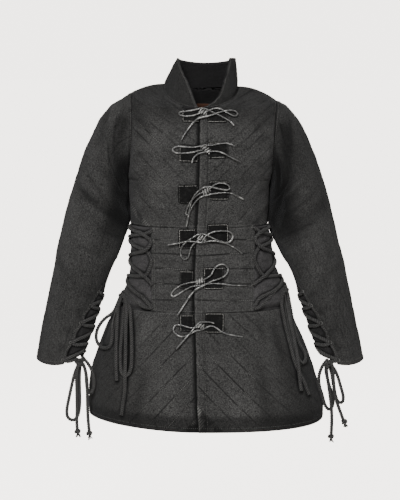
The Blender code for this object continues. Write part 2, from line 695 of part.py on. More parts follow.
def from_edge_steps(side, count, end=1.0):
    """Columns from a front's edge out to the side or armhole: two across the lap, then even ones."""
    def steps(row):
        under = 0.5 + (-LAP - 0.5) * (1 - smooth(FRONT_NECK_ROW - 2.2, FRONT_NECK_ROW, row))
        lap = (0, LAP + 1, LAP + LAP_BLEND) if side == LEFT else (under, 3, LAP_BLEND)
        far = end(row) if callable(end) else end
        if row > FRONT_NECK_ROW + 0.001:
            return [far * i / count for i in range(count + 1)]
        z = body_ends(side, row, True)[0][2]
        near = [s_at_x(side, edge_x(z) + side * away, row) for away in lap]
        return near[:2] + [near[2] + (far - near[2]) * i / (count - 2) for i in range(count - 1)]
    return steps


def lace_gap_s(side):
    """How far round the front waist panel reaches: its laced edge, as s at each row."""
    def end(row):
        return s_at_x(side, side * LACED_EDGE_X[side], row)
    return end


def make_fronts():
    for side, word in ((RIGHT, "right"), (LEFT, "left")):
        rows = [float(row) for row in range(WAIST_HIGH, FRONT_NECK_ROW)] + FRONT_NECK_ROWS
        grids = body_panel(side, from_edge_steps(side, 9), rows, True, high_seam=False)
        shell("front_chest_" + word, *grids, CLOTH_BLACK)
        rows = list(np.linspace(WAIST_LOW, WAIST_HIGH, 6))
        grids = body_panel(side, from_edge_steps(side, 6, lace_gap_s(side)), rows, True)
        shell("front_waist_" + word, *grids, CLOTH_BLACK)
        rows = list(np.linspace(0, WAIST_LOW, 9))
        grids = body_panel(side, from_edge_steps(side, 11), rows, True, low_seam=False)
        shell("front_skirt_" + word, *grids, CLOTH_BLACK)


def back_panel(rows, half, low_seam=True, high_seam=True):
    right = body_panel(RIGHT, lambda row: half, rows, False, low_seam=low_seam, high_seam=high_seam)
    left = body_panel(LEFT, lambda row: half, rows, False, low_seam=low_seam, high_seam=high_seam)
    outer = [r[::-1] + l[1:] for r, l in zip(right[0], left[0])]
    inner = [r[::-1] + l[1:] for r, l in zip(right[1], left[1])]
    return outer, inner


def make_back():
    half = [i / 10 for i in range(10)] + [0.95, 1.0]
    rows = list(np.linspace(WAIST_LOW, WAIST_HIGH, 6))
    shell("back_waist", *back_panel(rows, half[:-1]), CLOTH_BLACK)
    grids = back_panel(list(np.linspace(0, WAIST_LOW, 9)), half, low_seam=False)
    shell("back_skirt", *grids, CLOTH_BLACK)
    rows = [float(row) for row in range(WAIST_HIGH, BACK_NECK_ROW + 1)]
    low = back_panel(rows, half, high_seam=False)
    upper = BACK_NECK_ROWS
    parts = [body_panel(side, lambda row: half, upper, False, low_seam=False, high_seam=False)
             for side in (RIGHT, LEFT)]
    join_back("back_chest", low, parts)


def join_back(name, low, parts):
    """The back below the neck as one grid, with a shoulder part on each side of the neckline."""
    outer, inner = np.asarray(low[0]), np.asarray(low[1])
    rows, columns = outer.shape[:2]
    middle = columns // 2
    points_out = [tuple(p) for row in outer for p in row]
    points_in = [tuple(p) for row in inner for p in row]
    faces = []
    for r in range(rows - 1):
        for c in range(columns - 1):
            a = r * columns + c
            faces.append([a, a + 1, a + columns + 1, a + columns])
    top = (rows - 1) * columns
    for k, (part_out, part_in) in enumerate(parts):
        before = [top + middle - c if k == 0 else top + middle + c for c in range(middle + 1)]
        for line_out, line_in in list(zip(part_out, part_in))[1:]:
            now = []
            for p, q in zip(line_out, line_in):
                points_out.append(tuple(p))
                points_in.append(tuple(q))
                now.append(len(points_out) - 1)
            for c in range(middle):
                quad = [before[c], before[c + 1], now[c + 1], now[c]]
                faces.append(quad if k == 1 else quad[::-1])
            before = now
    count = len(points_out)
    points = np.array(points_out + points_in)
    backs = [[i + count for i in face[::-1]] for face in faces]
    return solid(name, points, faces + backs + rim_of(faces, points, count), CLOTH_BLACK, 0.9)


def make_underlays():
    """The cloth behind each laced side, under the edges of the front and back waist panels."""
    for side, word in ((RIGHT, "right"), (LEFT, "left")):
        outer, inner = [], []
        low, high = WAIST_LOW - 0.14, WAIST_HIGH + 0.2
        for row in np.linspace(low, high, 7):
            line_out, line_in = [], []
            start = lace_gap_s(side)(min(max(row, WAIST_LOW), WAIST_HIGH)) - 0.07
            depth = WALL + UNDERLAY_GAP
            for s in np.linspace(start, 1.0, 5):
                point, normal = body(side, s, row), body_normal(side, s, row)
                line_out.append(point - normal * depth)
                line_in.append(point - normal * (depth + LAP_WALL))
            for s in (0.93, 0.86):
                point, normal = body(side, s, row, False), body_normal(side, s, row, False)
                line_out.append(point - normal * depth)
                line_in.append(point - normal * (depth + LAP_WALL))
            outer.append(line_out)
            inner.append(line_in)
        shell("side_underlay_" + word, outer, inner, UNDERLAY_BLACK)


def armhole_stops():
    """The places round the armhole where the rows of the fronts and the back end."""
    rows = [float(row) for row in range(ARMPIT, FRONT_NECK_ROW)] + FRONT_NECK_ROWS
    front = [yoke_degrees(row, True)[1] for row in rows]
    rows = [float(row) for row in range(ARMPIT, BACK_NECK_ROW)] + BACK_NECK_ROWS
    back = [360 - yoke_degrees(row, False)[1] for row in rows]
    return sorted(front) + sorted(back)[1:]


def sleeve_columns(row):
    """Angles round the sleeve, from one side of the slit to the other: at the armhole the seam's
    own stops, and further down evenly spaced."""
    low, high = by_column(SLIT_EDGES, row)
    stops = armhole_stops()
    seam = [a for a in stops[:-1] if a > 168] + [a + 360 for a in stops if a < 162]
    seam = [168] + seam + [162 + 360]
    even = np.linspace(high, low + 360, len(seam))
    share = smooth(0, 2, row)
    return [a * (1 - share) + b * share for a, b in zip(seam, even)]


def make_sleeves():
    rows = [0.0, 0.35, 0.8, 1.4, 2.1, 2.9, 3.7, 4.5, 5.4, 6.4, 7.4, SLIT_TOP, 8.8, 9.5, 10.3, CUFF]
    for side, word in ((RIGHT, "right"), (LEFT, "left")):
        outer, inner = [], []
        for row in rows:
            line_out, line_in = [], []
            columns = sleeve_columns(row)
            for degrees in columns:
                if row == 0:
                    stops = armhole_stops()
                    point = on_chords(lambda at: armhole(at, side), stops, degrees % 360)
                    mitre = on_chords(lambda at: arm_mitre(at, side), stops, degrees % 360)
                    point = point + beyond(mitre, np.array([side, 0, 0])) * SEAM_GAP
                    inward = mitre * 1.15 * WALL
                else:
                    point, normal = sleeve_surface(side, degrees, row)
                    inward = -normal * WALL
                line_out.append(point)
                line_in.append(point + inward)
            outer.append(line_out)
            inner.append(line_in)
        slit = {(r, len(sleeve_columns(CUFF)) - 1) for r in range(len(rows) - 1) if rows[r] >= SLIT_TOP}
        shell("sleeve_" + word, outer, inner, CLOTH_BLACK, wrap=True, missing=slit)


def collar_columns():
    """(side, degrees along the neckline) of each column, from the right front edge to the left."""
    right = [(RIGHT, COLLAR_EDGES[0][1])] + [(RIGHT, at) for at in NECK_STOPS[-2:0:-1]]
    left = [(LEFT, at) for at in NECK_STOPS[:-1]] + [(LEFT, COLLAR_EDGES[0][2])]
    return right + left


def make_collar():
    outer, inner = [], []
    for share in np.linspace(0, 1, 6):
        line_out, line_in = [], []
        for side, base in collar_columns():
            edge = by_column(COLLAR_EDGES, share)[0 if side == RIGHT else 1]
            degrees = base * edge / COLLAR_EDGES[0][1 if side == RIGHT else 2]
            point, normal = collar_point(side, degrees, share), collar_normal(side, degrees, share)
            inward = -normal * COLLAR_WALL
            if share == 0:
                point = on_chords(lambda at: neckline(at, side), NECK_STOPS, degrees)
                mitre = on_chords(lambda at: neck_mitre(at, side), NECK_STOPS, degrees)
                point = point + beyond(mitre, np.array([0, 0, 1])) * SEAM_GAP
                inward = mitre * 1.1 * COLLAR_WALL
            line_out.append(point)
            line_in.append(point + inward)
        outer.append(line_out)
        inner.append(line_in)
    shell("collar", outer, inner, CLOTH_BLACK)


def make_arm_underlays():
    """The cloth behind each laced forearm opening, under both of its edges."""
    for side, word in ((RIGHT, "right"), (LEFT, "left")):
        outer, inner = [], []
        for row in np.linspace(8.15, CUFF - 0.06, 8):
            low, high = by_column(SLIT_EDGES, row)
            line_out, line_in = [], []
            for degrees in np.linspace(low - 13, high + 13, 7):
                point, normal = sleeve_surface(side, degrees, row)
                line_out.append(point - normal * (WALL + ARM_UNDERLAY_GAP))
                line_in.append(point - normal * (WALL + ARM_UNDERLAY_GAP + LAP_WALL))
            outer.append(line_out)
            inner.append(line_in)
        shell("arm_underlay_" + word, outer, inner, UNDERLAY_BLACK)


def make_label():
    """A plain label inside the back of the neck."""
    left, right, high, low = LABEL
    outer, inner = [], []
    for row in np.linspace(low, high, 4):
        line_out, line_in = [], []
        for x in np.linspace(left, right, 6):
            side = LEFT if x > 0 else RIGHT
            edge = body_ends(side, row, False)[1]
            s = math.asin(x / edge[0]) / (math.pi / 2)
            point, normal = body(side, s, row, False), body_normal(side, s, row, False)
            line_out.append(point - normal * (WALL + LABEL_LIFT))
            line_in.append(point - normal * (WALL + LABEL_LIFT + LABEL_THICKNESS))
        outer.append(line_out)
        inner.append(line_in)
    shell("neck_label", outer, inner, LABEL_BROWN)


def outside_of(names):
    """The panels' faces, in which a patch finds the cloth that it lies on."""
    points, faces = [], []
    for name in names:
        mesh = bpy.data.objects[name].data
        start = len(points)
        points += [vertex.co.copy() for vertex in mesh.vertices]
        faces += [[start + i for i in face.vertices] for face in mesh.polygons]
    return BVHTree.FromPolygons(points, faces)


def make_patches():
    panels = [f"front_{part}_{word}" for part in ("chest", "waist", "skirt") for word in ("right", "left")]
    tree = outside_of(panels)
    for number, row in enumerate(PATCHES, 1):
        for word, (x, z, width, height) in (("right", row[:4]), ("left", row[4:])):
            outer, inner = [], []
            for v in np.linspace(z - height / 2, z + height / 2, 5):
                far = x + width / 2
                if word == "right":
                    far = min(far, edge_x(v) - 1.5)
                line_out, line_in = [], []
                for u in np.linspace(x - width / 2, far, 6):
                    hit = tree.ray_cast(Vector((u * MM, -0.3, v * MM)), Vector((0, 1, 0)))[0]
                    side = LEFT if u > 0 else RIGHT
                    normal = body_normal(side, *find_front(u, v, side))
                    line_out.append(np.array(hit) / MM + normal * (PATCH_LIFT + PATCH_THICKNESS))
                    line_in.append(np.array(hit) / MM + normal * PATCH_LIFT)
                outer.append(line_out)
                inner.append(line_in)
            shell(f"patch_{number}_{word}", outer, inner, LEATHER_BLACK, roughness=0.5)


def cord(name, points, diameter, colour):
    """A lace or cord as a round tube on a smooth curve through its route's points."""
    points = np.asarray(points)
    lengths = np.linalg.norm(np.diff(points, axis=0), axis=1)
    places = []
    for i, length in enumerate(lengths):
        steps = max(1, int(round(length / (diameter * 5))))
        places += [i + k / steps for k in range(steps)]
    line = [through(points, place) for place in places] + [points[-1]]
    curve = bpy.data.curves.new(name, "CURVE")
    curve.dimensions = "3D"
    curve.bevel_depth = diameter / 2 * MM
    curve.bevel_resolution = 2
    curve.use_fill_caps = True
    spline = curve.splines.new("POLY")
    spline.points.add(len(line) - 1)
    for point, place in zip(spline.points, line):
        point.co = (*(place * MM), 1.0)
    obj = bpy.data.objects.new(name, curve)
    bpy.context.scene.collection.objects.link(obj)
    curve.materials.append(material(name, colour, 0.6))
    return obj


def knot(name, middle, half_sizes, colour):
    """A drawn-up knot as one rounded lump."""
    outer = []
    for i in range(1, 5):
        polar = math.pi * i / 5
        ring = [np.array([math.sin(polar) * math.cos(a), math.sin(polar) * math.sin(a), math.cos(polar)])
                for a in np.linspace(0, 2 * math.pi, 9)[:-1]]
        outer.append(ring)
    points = [np.array([0, 0, 1.0])] + [p for ring in outer for p in ring] + [np.array([0, 0, -1.0])]
    points = [middle + p * np.array(half_sizes) for p in points]
    faces = [[0, 1 + (i + 1) % 8, 1 + i] for i in range(8)]
    for r in range(3):
        for i in range(8):
            a, b = 1 + r * 8 + i, 1 + r * 8 + (i + 1) % 8
            faces.append([a, b, b + 8, a + 8])
    faces += [[33, 25 + i, 25 + (i + 1) % 8] for i in range(8)]
    return solid(name, points, faces, colour, 0.6)


def make_ties():
    for number, (x, z, lower, upper) in enumerate(TIES, 1):
        knot(f"tie_{number}_knot", over_front(x, z, KNOT_LIFT), (5.2, 2.8, 4.9), LACE_BLACK)
        for word, route, lift in (("lower", lower, LOWER_LIFT), ("upper", upper, UPPER_LIFT)):
            points = [over_front(x + dx, z + dz, lift) for dx, dz in route]
            if math.hypot(*route[0]) < 8:
                points[0] = over_front(x + route[0][0], z + route[0][1], KNOT_LIFT)
            cord(f"tie_{number}_lace_{word}", points, LEATHER_LACE, LACE_BLACK)


def round_side(side, w, z, lift):
    """A point over the waist: w runs from the front, 0, past the side seam, 1, to the back."""
    row = float(np.interp(z, [r[0] for r in RINGS], range(len(RINGS))))
    front = w <= 1
    s = w if front else 2 - w
    return body(side, s, row, front) + body_normal(side, s, row, front) * lift


def crossings(holes):
    """The places of a cord laced to and fro, as (share of the way across, height)."""
    places = []
    stops = [height for pair in holes for height in pair if height is not None]
    for i, (start, end) in enumerate(zip(stops, stops[1:])):
        for across, down in CROSSING:
            places.append((across if i % 2 == 0 else 1 - across, start + (end - start) * down))
    return places + [(0.0, stops[-1])]


def round_at(side, x, z):
    """How far round the side a point of the front is, and its height."""
    row = float(np.interp(z, [r[0] for r in RINGS], range(len(RINGS))))
    return s_at_x(side, side * x, row), z


def laced(side, stops, over, lift):
    """A cord's points from stop to stop round a side, with soft turns, lifted at the stops it goes over."""
    flat = np.array(stops) * (SIDE_ARC, 1)
    gone = np.insert(np.cumsum(np.hypot(*np.diff(flat, axis=0).T)), 0, 0)
    steps = np.arange(-18.0, gone[-1] + 18.0, 1.0)
    line = np.array([np.interp(steps, gone, flat[:, i]) for i in (0, 1)]).T
    for at, start in ((steps < 0, 0), (steps > gone[-1], -1)):
        way = unit(flat[1] - flat[0]) if start == 0 else unit(flat[-1] - flat[-2])
        line[at] = flat[start] + np.outer(steps[at] - (0 if start == 0 else gone[-1]), way)
    weights = np.exp(-(np.arange(-14, 15) / 4.6) ** 2 / 2)
    weights /= weights.sum()
    line = np.array([np.convolve(line[:, i], weights, "same") for i in (0, 1)]).T[18:-17]
    count = int(gone[-1] / 8.5)
    points = []
    for place in np.linspace(0, len(line) - 1, count):
        w, z = line[int(place)]
        near = min([abs(place - gone[i]) for i in over], default=99)
        rise = lift + CROSSING_LIFT * math.exp(-(near / 15) ** 4)
        points.append(round_side(side, w / SIDE_ARC, z, rise))
    return points


def side_crossings(side):
    """The points of the two ends of a side's cord, down to their last holes."""
    front = [round_at(side, FRONT_HOLE_X[side], z) for z in FRONT_HOLES[side]]
    back = [(BACK_HOLE_W, z) for z in BACK_HOLES]
    cross = [round_at(side, x, z) for x, z in CROSSED[side]]
    first = laced(side, [front[0], cross[0], back[1], cross[1], front[2], cross[2], back[3],
                         round_at(side, 128, -469), front[4]], (), CORD_LIFT)
    second = laced(side, [back[0], cross[0], front[1], cross[1], back[2], cross[2], front[3]],
                   (1, 3, 5), CORD_LIFT)
    return first, second


def free_point(row):
    if len(row) == 4:
        return np.array([row[0], row[3], row[1]], float)
    return over_front(*row)


def make_side_laces():
    for side, word in ((RIGHT, "right"), (LEFT, "left")):
        first, second = side_crossings(side)
        cord("side_lace_" + word, first + [free_point(row) for row in SIDE_LOOP[side]], COTTON_CORD, CORD_BLACK)
        cord("side_lace_crossed_" + word, second, COTTON_CORD, CORD_BLACK)
        cord("side_lace_ends_" + word, [free_point(row) for row in SIDE_ENDS[side]], COTTON_CORD, CORD_BLACK)
    route = [free_point(row) for row in SIDE_SECOND_LOOP]
    cord("side_lace_second_right", route, COTTON_CORD, CORD_BLACK)


def over_sleeve(side, degrees, row, lift):
    point, normal = sleeve_surface(side, degrees, row)
    return point + normal * lift


def arm_crossings(side):
    points = []
    for share, row in crossings(ARM_HOLES):
        start = by_column(SLIT_EDGES, row)[0] - ARM_FRONT_HOLE
        points.append(over_sleeve(side, start + (ARM_BACK_HOLE - start) * share, row, CORD_LIFT))
    return points


def make_arm_laces():
    for side, word in ((RIGHT, "right"), (LEFT, "left")):
        route = arm_crossings(side) + [over_sleeve(side, 113, 10.91, CORD_LIFT),
                                       over_sleeve(side, 124, 10.93, CORD_LIFT)]
        if side == RIGHT:
            route.append(over_sleeve(side, 143, 10.93, CORD_LIFT))
        route += [np.array(place, float) for place in ARM_LOOP[side]]
        cord("arm_lace_" + word, route, COTTON_CORD, CORD_BLACK)
        route = [np.array(place, float) for place in ARM_SECOND_LOOP[side]]
        if side == RIGHT:
            route = [over_sleeve(side, 178, 10.8, CORD_LIFT)] + route
        cord("arm_lace_second_" + word, route, COTTON_CORD, CORD_BLACK)
        route = [np.array(place, float) for place in ARM_ENDS[side]]
        cord("arm_lace_ends_" + word, route, COTTON_CORD, CORD_BLACK)


def main():
    clear_scene()
    make_fronts()
    make_back()
    make_underlays()
    make_sleeves()
    make_collar()
    make_arm_underlays()
    make_label()
    make_patches()
    make_ties()
    make_side_laces()
    make_arm_laces()


main()
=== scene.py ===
"""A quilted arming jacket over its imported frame: padded cloth panels with their quilting, seams and
creases, leather patches and ties, cotton lacing, eyelets and stitching. "Right" and "left" are the
wearer's. The tables and the surface functions are in millimetres, and meshes are in metres."""

import math

import bmesh
import bpy
import numpy as np
from bpy.props import FloatProperty, FloatVectorProperty, IntProperty
from mathutils import Matrix, Vector


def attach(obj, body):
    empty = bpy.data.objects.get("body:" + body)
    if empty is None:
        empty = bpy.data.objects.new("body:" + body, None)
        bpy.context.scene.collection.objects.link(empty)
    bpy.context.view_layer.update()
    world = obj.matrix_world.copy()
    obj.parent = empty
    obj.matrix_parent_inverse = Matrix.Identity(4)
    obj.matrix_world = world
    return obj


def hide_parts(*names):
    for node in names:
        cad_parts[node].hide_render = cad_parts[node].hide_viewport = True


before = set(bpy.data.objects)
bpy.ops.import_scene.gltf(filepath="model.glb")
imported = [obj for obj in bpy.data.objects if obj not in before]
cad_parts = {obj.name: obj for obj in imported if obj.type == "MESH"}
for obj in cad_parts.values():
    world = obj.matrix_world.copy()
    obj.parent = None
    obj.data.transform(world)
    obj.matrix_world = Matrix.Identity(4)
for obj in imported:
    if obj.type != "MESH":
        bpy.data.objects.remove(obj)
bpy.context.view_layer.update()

bl_info = {
    "name": "Quilted arming jacket",
    "version": (1, 0, 0),
    "blender": (4, 5, 0),
    "location": "View3D > Sidebar > Jacket",
    "description": "Makes the cloth, leather and cord pieces of a quilted arming jacket",
    "category": "Object",
}

MM = 0.001
RIGHT = -1
LEFT = 1
SIDES = ((RIGHT, "right"), (LEFT, "left"))

# ---- sizes, in millimetres ----
WALL = 6.0            # padded cloth: canvas, wadding and canvas
LAP_WALL = 3.0        # where the padding is left out: the lapped front edges and the underlays
SEAM_GAP = 0.36       # between two pieces that are sewn together
LAP = 22.0            # how far the right front runs under the left one
LAP_BLEND = 26.0      # the width over which a front thins towards its edge
NECK_HALF_WIDTH = 84.0
NECK_BACK_DEPTH = 50.0
NECK_FRONT_DEPTH = 103.0
NECK_Y = 8.0
NECK_POINT_Z = {RIGHT: 10.0, LEFT: 4.0}
NECK_BACK_Z = 0.0
NECK_PIT_Z = -43.0
COLLAR_WALL = 5.0
COLLAR_LEAN = 12.0    # the collar's top stands this far towards the left
COLLAR_TOP_HALF_WIDTH = 67.0
COLLAR_TOP_BACK_DEPTH = 46.0
COLLAR_TOP_FRONT_DEPTH = 74.0
COLLAR_TOP_SIDE_Z = 68.0
COLLAR_TOP_BACK_Z = 58.0
UNDERLAY_GAP = 1.8    # behind the curved panels whose edges it joins
ARM_UNDERLAY_GAP = 1.9
PATCH_LIFT = 0.65     # clears the edges between the panel's faces
PATCH_THICKNESS = 1.8
SLIT_TOP = 8.4        # the forearm opening's upper end, as a row of SLEEVE

# Rings of the body up to the armpit: height, then the distances from the origin's axis.
RINGS = (
    # z, right, left, front, back
    (-757, 263, 286, 190, 182),
    (-710, 263, 282, 182, 174),
    (-665, 260, 268, 173, 165),
    (-620, 247, 253, 164, 155),
    (-575, 231, 236, 154, 146),
    (-535, 213, 218, 144, 136),
    (-497, 195, 206, 134, 124),
    (-450, 171, 190, 124, 108),
    (-405, 163, 171, 117, 98),
    (-355, 162, 162, 114, 93),
    (-308, 163, 154, 117, 95),
    (-274, 164, 155, 121, 101),
    (-240, 165, 156, 125, 107),
    (-205, 165, 158, 127, 112),
)
HEM_ROUNDNESS = {RIGHT: 1.72, LEFT: 2.6}   # the fronts' power at the hem: 2 is an ellipse
WAIST_LOW = 6         # rows of RINGS at the two waist seams and at the armpit
WAIST_HIGH = 10
ARMPIT = 13
TOP = 21              # the shoulder seam, counting the yoke rows on
# Rows of the front and back above the armpit: the middle's y and z or the place on the neckline,
# and the place round the armhole.
FRONT_YOKE = (
    # y, z, neckline degrees, armhole degrees
    (-127, -205, 180, 180),
    (-126, -172, 180, 152),
    (-123, -140, 180, 127),
    (-117, -108, 180, 103),
    (-108, -76, 180, 79),
    (-95, -43, 180, 56),
    (0, 0, 150, 36),
    (0, 0, 120, 18),
    (0, 0, 90, 0),
)
BACK_YOKE = (
    # y, z, neckline degrees, armhole degrees
    (112, -205, 0, 180),
    (115, -170, 0, 152),
    (114, -135, 0, 127),
    (109, -100, 0, 103),
    (100, -66, 0, 79),
    (84, -33, 0, 56),
    (58, 0, 0, 36),
    (0, 0, 45, 18),
    (0, 0, 90, 0),
)
FRONT_NECK_ROW = 18   # from this row on, the front or back starts at the neckline
BACK_NECK_ROW = 19
# The edge of the left front, which laps over the right one.
FRONT_EDGE = (
    # z, x
    (-757, -5),
    (-690, -9),
    (-583, -11),
    (-490, -15),
    (-396, -14),
    (-325, -10),
    (-257, -6),
    (-165, -3),
    (-85, -3),
    (-43, -2),
)
ARMHOLE = {
    # tip x, tip z, armpit x, front depth, back depth, inset of the middle
    RIGHT: (157, -9, 165, 60, 62, 6),
    LEFT: (172, -28, 158, 60, 62, 2),
}
ARMPIT_Z = -205.0
ARMHOLE_Y = 1.0
# Rings of the sleeves after the armhole: the outer and inner end of each, and its depth.
SLEEVE = (
    # outer z, outer x right, left, inner z, inner x right, left, front, back, middle y
    (-38, 205, 194, -213, 166.4, 159.4, 66, 68, 1),
    (-72, 233, 222, -228, 166.4, 158.6, 69, 72, 1),
    (-112, 253, 244, -247, 166.2, 157.8, 70, 73, 0),
    (-162, 274, 265, -271, 166.4, 157.0, 70, 72, -1),
    (-222, 294, 285, -301, 170, 158.4, 69, 70, -3),
    (-285, 312, 303, -335, 177, 166, 68, 68, -6),
    (-350, 328, 318, -376, 190, 185, 66, 66, -11),
    (-415, 341, 334, -428, 213, 212, 63, 63, -17),
    (-482, 355, 348, -486, 231, 231, 59, 59, -24),
    (-550, 369, 362, -549, 250, 252, 55, 55, -31),
    (-619, 381, 377, -614, 277, 276, 51, 51, -38),
)
# The two edges of the laced forearm opening, in degrees round the sleeve: 0 is its outer side,
# 90 its front and 180 its inner side.
SLIT_EDGES = (
    # row, front edge, back edge
    (0.0, 162, 168),
    (8.4, 162, 168),
    (8.8, 148, 175),
    (9.5, 132, 177),
    (10.3, 118, 178),
    (11.0, 108, 178),
)
CUFF = 11             # the last row of the sleeve, counting the armhole as row 0
CUFF_FRONT_DROP = 10.0
# The largest folds, as soft troughs across a sleeve: from a row and an angle to another.
SLEEVE_FOLDS = {
    RIGHT: (
        # from row, from degrees, to row, to degrees, depth, half width
        (0.5, 62, 2.6, 132, 6.0, 17.0),
        (1.3, 30, 2.4, 52, 3.5, 14.0),
        (3.2, 95, 4.0, 165, 4.5, 16.0),
        (4.9, 60, 5.3, 150, 4.0, 15.0),
        (4.4, 205, 5.4, 320, 5.0, 18.0),
    ),
    LEFT: (
        (1.4, 60, 5.2, 148, 7.0, 17.0),
        (4.4, 95, 4.6, 150, 4.0, 14.0),
        (5.5, 40, 6.0, 140, 3.5, 16.0),
        (4.3, 205, 5.5, 320, 5.0, 18.0),
    ),
}
# The collar's front edges, which part as they rise; degrees from the middle of the back.
COLLAR_EDGES = (
    # share of the height, right degrees, left degrees
    (0.0, 176, 178),
    (0.12, 170, 158),
    (0.3, 163, 150),
    (0.55, 149, 142),
    (0.8, 127, 133),
    (1.0, 106, 128),
)

# Leather patches, in pairs beside the front edge, on which the ties are held.
PATCHES = (
    # right: x, z of the middle, width, height; left: the same
    (-22.5, -60, 38, 28, 36.2, -61, 42, 28),
    (-26.5, -142, 43, 37, 37.2, -135, 44, 35),
    (-28.0, -232, 43, 41, 39.4, -223.5, 44, 42),
    (-30.5, -333, 38, 44, 37.5, -320.5, 46, 43),
    (-32.0, -425, 30, 40, 28.3, -421.5, 45, 48),
    (-31.5, -519, 31, 35, 30.0, -519, 42, 43),
)
# The leather ties: where each knot lies, then each lace's route from the knot, measured from it.
TIES = (
    # knot x, z, the lower lace's (x, z), the upper lace's (x, z)
    (5, -54,
     ((-5.6, -1), (-18, -6), (-36, -9), (-49, -7), (-55, -3), (-51, 1), (-38, 1.5), (-18, 6), (0, 9),
      (12, 4), (30, -4), (47, -13), (60, -21), (67, -29)),
     ((5.7, 0.4), (18, 6), (29, 8), (40, 4.5), (55, -4.5), (66, -10.5), (74.5, -8), (73, -1), (62, 2.5),
      (49, 2), (33.5, -2), (18, -7), (7.5, -10), (-3, -11.5), (-14, -16), (-24.5, -26), (-33, -37),
      (-41, -48.5), (-47, -60))),
    (11, -133,
     ((-5.7, -1.2), (-20, -4.5), (-35, -7.5), (-50, -9), (-65, -8.5), (-74.5, -3), (-71, 3), (-61, 6),
      (-46, 5), (-30.5, 3.7), (-15, 6), (-1, 9), (11, 8), (26, 11), (46, 13), (62, 6)),
     ((-31.5, -30), (-27.5, -19), (-20.5, -11.5), (-8.7, -7), (3, -5.4), (17, -4.5), (34, -7.5), (51.5, -17),
      (70, -26))),
    (11, -224,
     ((-5.8, -1.5), (-17.5, -7.5), (-29.5, -18), (-38, -31.5), (-43.5, -45), (-44.5, -54), (-39, -53),
      (-34, -43), (-27.5, -29.5), (-20, -20), (-10, -12), (2, -9), (15, -6), (32.5, -4), (52, -5),
      (73, -15), (81, -20)),
     ((5.8, 2), (16, 14), (30, 18.7), (42.5, 16), (51.5, 8.5), (49, 2.3), (34, 3.5), (17, 8), (6.5, 10),
      (-3.5, 9.6), (-14, 3.6), (-23, -5.7), (-30.5, -18.7), (-35, -35), (-39, -57.5), (-43, -79))),
    (2, -329,
     ((-5.2, -2.4), (-15.5, -12.5), (-24.5, -22.5), (-27, -35), (-30, -46), (-38.5, -51.5), (-45.5, -44),
      (-47, -30.5), (-43, -19), (-34, -9), (-22, -1), (-9, 7.5), (1, 9), (13, 5), (26, -2.5),
      (39.5, -8), (57, -16), (77, -28.5), (89, -39.5)),
     ((5.5, 1.8), (15, 10), (28, 14.7), (43, 16), (58, 14), (66, 7), (66, -3.5), (59, -10.5), (45, -11),
      (30, -7), (17, -6.5), (6.5, -9.3), (-6.5, -10), (-22, -7.6), (-37, -8.6), (-56, -13.7),
      (-73.5, -17))),
    (-2, -427,
     ((-5.8, -1), (-18, -3), (-37.5, -8), (-54, -17.5), (-64.5, -30.5), (-60.5, -37), (-48.5, -30),
      (-34, -20.5), (-20, -13), (-6.6, -10), (4.5, -9.6), (17.5, -6), (33, -5.6), (50.5, -7.3),
      (70.5, -10.6), (101.5, -13)),
     ((5.9, 2), (15, 7), (25, 14.5), (28.5, 24.5), (36, 34), (47.5, 38), (58.5, 31.5), (61, 21.5),
      (53, 10), (37, 3), (22, -1.5), (12, -8), (2, -12.5), (-8.7, -18), (-22, -33), (-35, -53.5),
      (-49, -75.5))),
    (-1, -525,
     ((-5.8, -1.6), (-16.5, -5), (-29.5, -3), (-42.5, 1), (-55, 1), (-61.5, -7), (-58, -16.5), (-47, -23),
      (-34, -23.5), (-22, -17), (-10, -10.5), (1, -9), (12.4, -4), (21, 0), (30, -1.3), (40, -8.5),
      (52, -16.5), (69.5, -21), (93, -26)),
     ((30, 5), (19, 8), (7, 8), (-3, 7.2), (-9.7, 1), (-17.5, -9.5), (-29, -22.5), (-42, -38),
      (-53, -51))),
)
LOWER_LIFT = 4.5      # the laces' middle above the cloth
UPPER_LIFT = 8.5
# Each tie's knot: the lean of its wraps, in degrees, and how many there are.
KNOT_WRAPS = ((-25, 2), (-40, 3), (30, 2), (-20, 2), (20, 2), (-25, 2))
KNOT_LIFT = 6.2
# The laced sides: holes down the front waist panel and down the back, and the places in between,
# close to the front holes, where the two ends of the cord cross.
LACED_EDGE_X = {RIGHT: 113.0, LEFT: 122.0}
FRONT_HOLE_X = {RIGHT: 107.0, LEFT: 116.0}
FRONT_HOLES = {RIGHT: (-316, -342, -384, -441, -489), LEFT: (-310, -336, -382, -440, -491)}
BACK_HOLES = (-316, -344, -388, -434)
BACK_HOLE_W = 1.06    # round the side: 0 is the front's middle, 1 the side seam, 2 the back's middle
CROSSED = {
    # x, z
    RIGHT: ((121, -326), (118, -364), (121, -421)),
    LEFT: ((127, -322), (126, -357), (137, -423)),
}
SIDE_ARC = 210.0      # round the waist from the front's middle to the side seam
CORD_LIFT = 3.9       # a cord's middle above the cloth in a lacing
CORD_REST = 3.4       # and where it hangs on the skirt
CORD_TWIST = 15.0     # the length of one turn of its strands
CROSSING_LIFT = 5.0   # more, where a cord goes over the other one
# How a cord turns at a hole: its share of the way across, and of the way down, to the next hole.
CROSSING = (
    (0.0, 0.0),
    (0.08, 0.16),
    (0.2, 0.3),
    (0.4, 0.44),
    (0.6, 0.56),
    (0.8, 0.7),
    (0.92, 0.84),
)
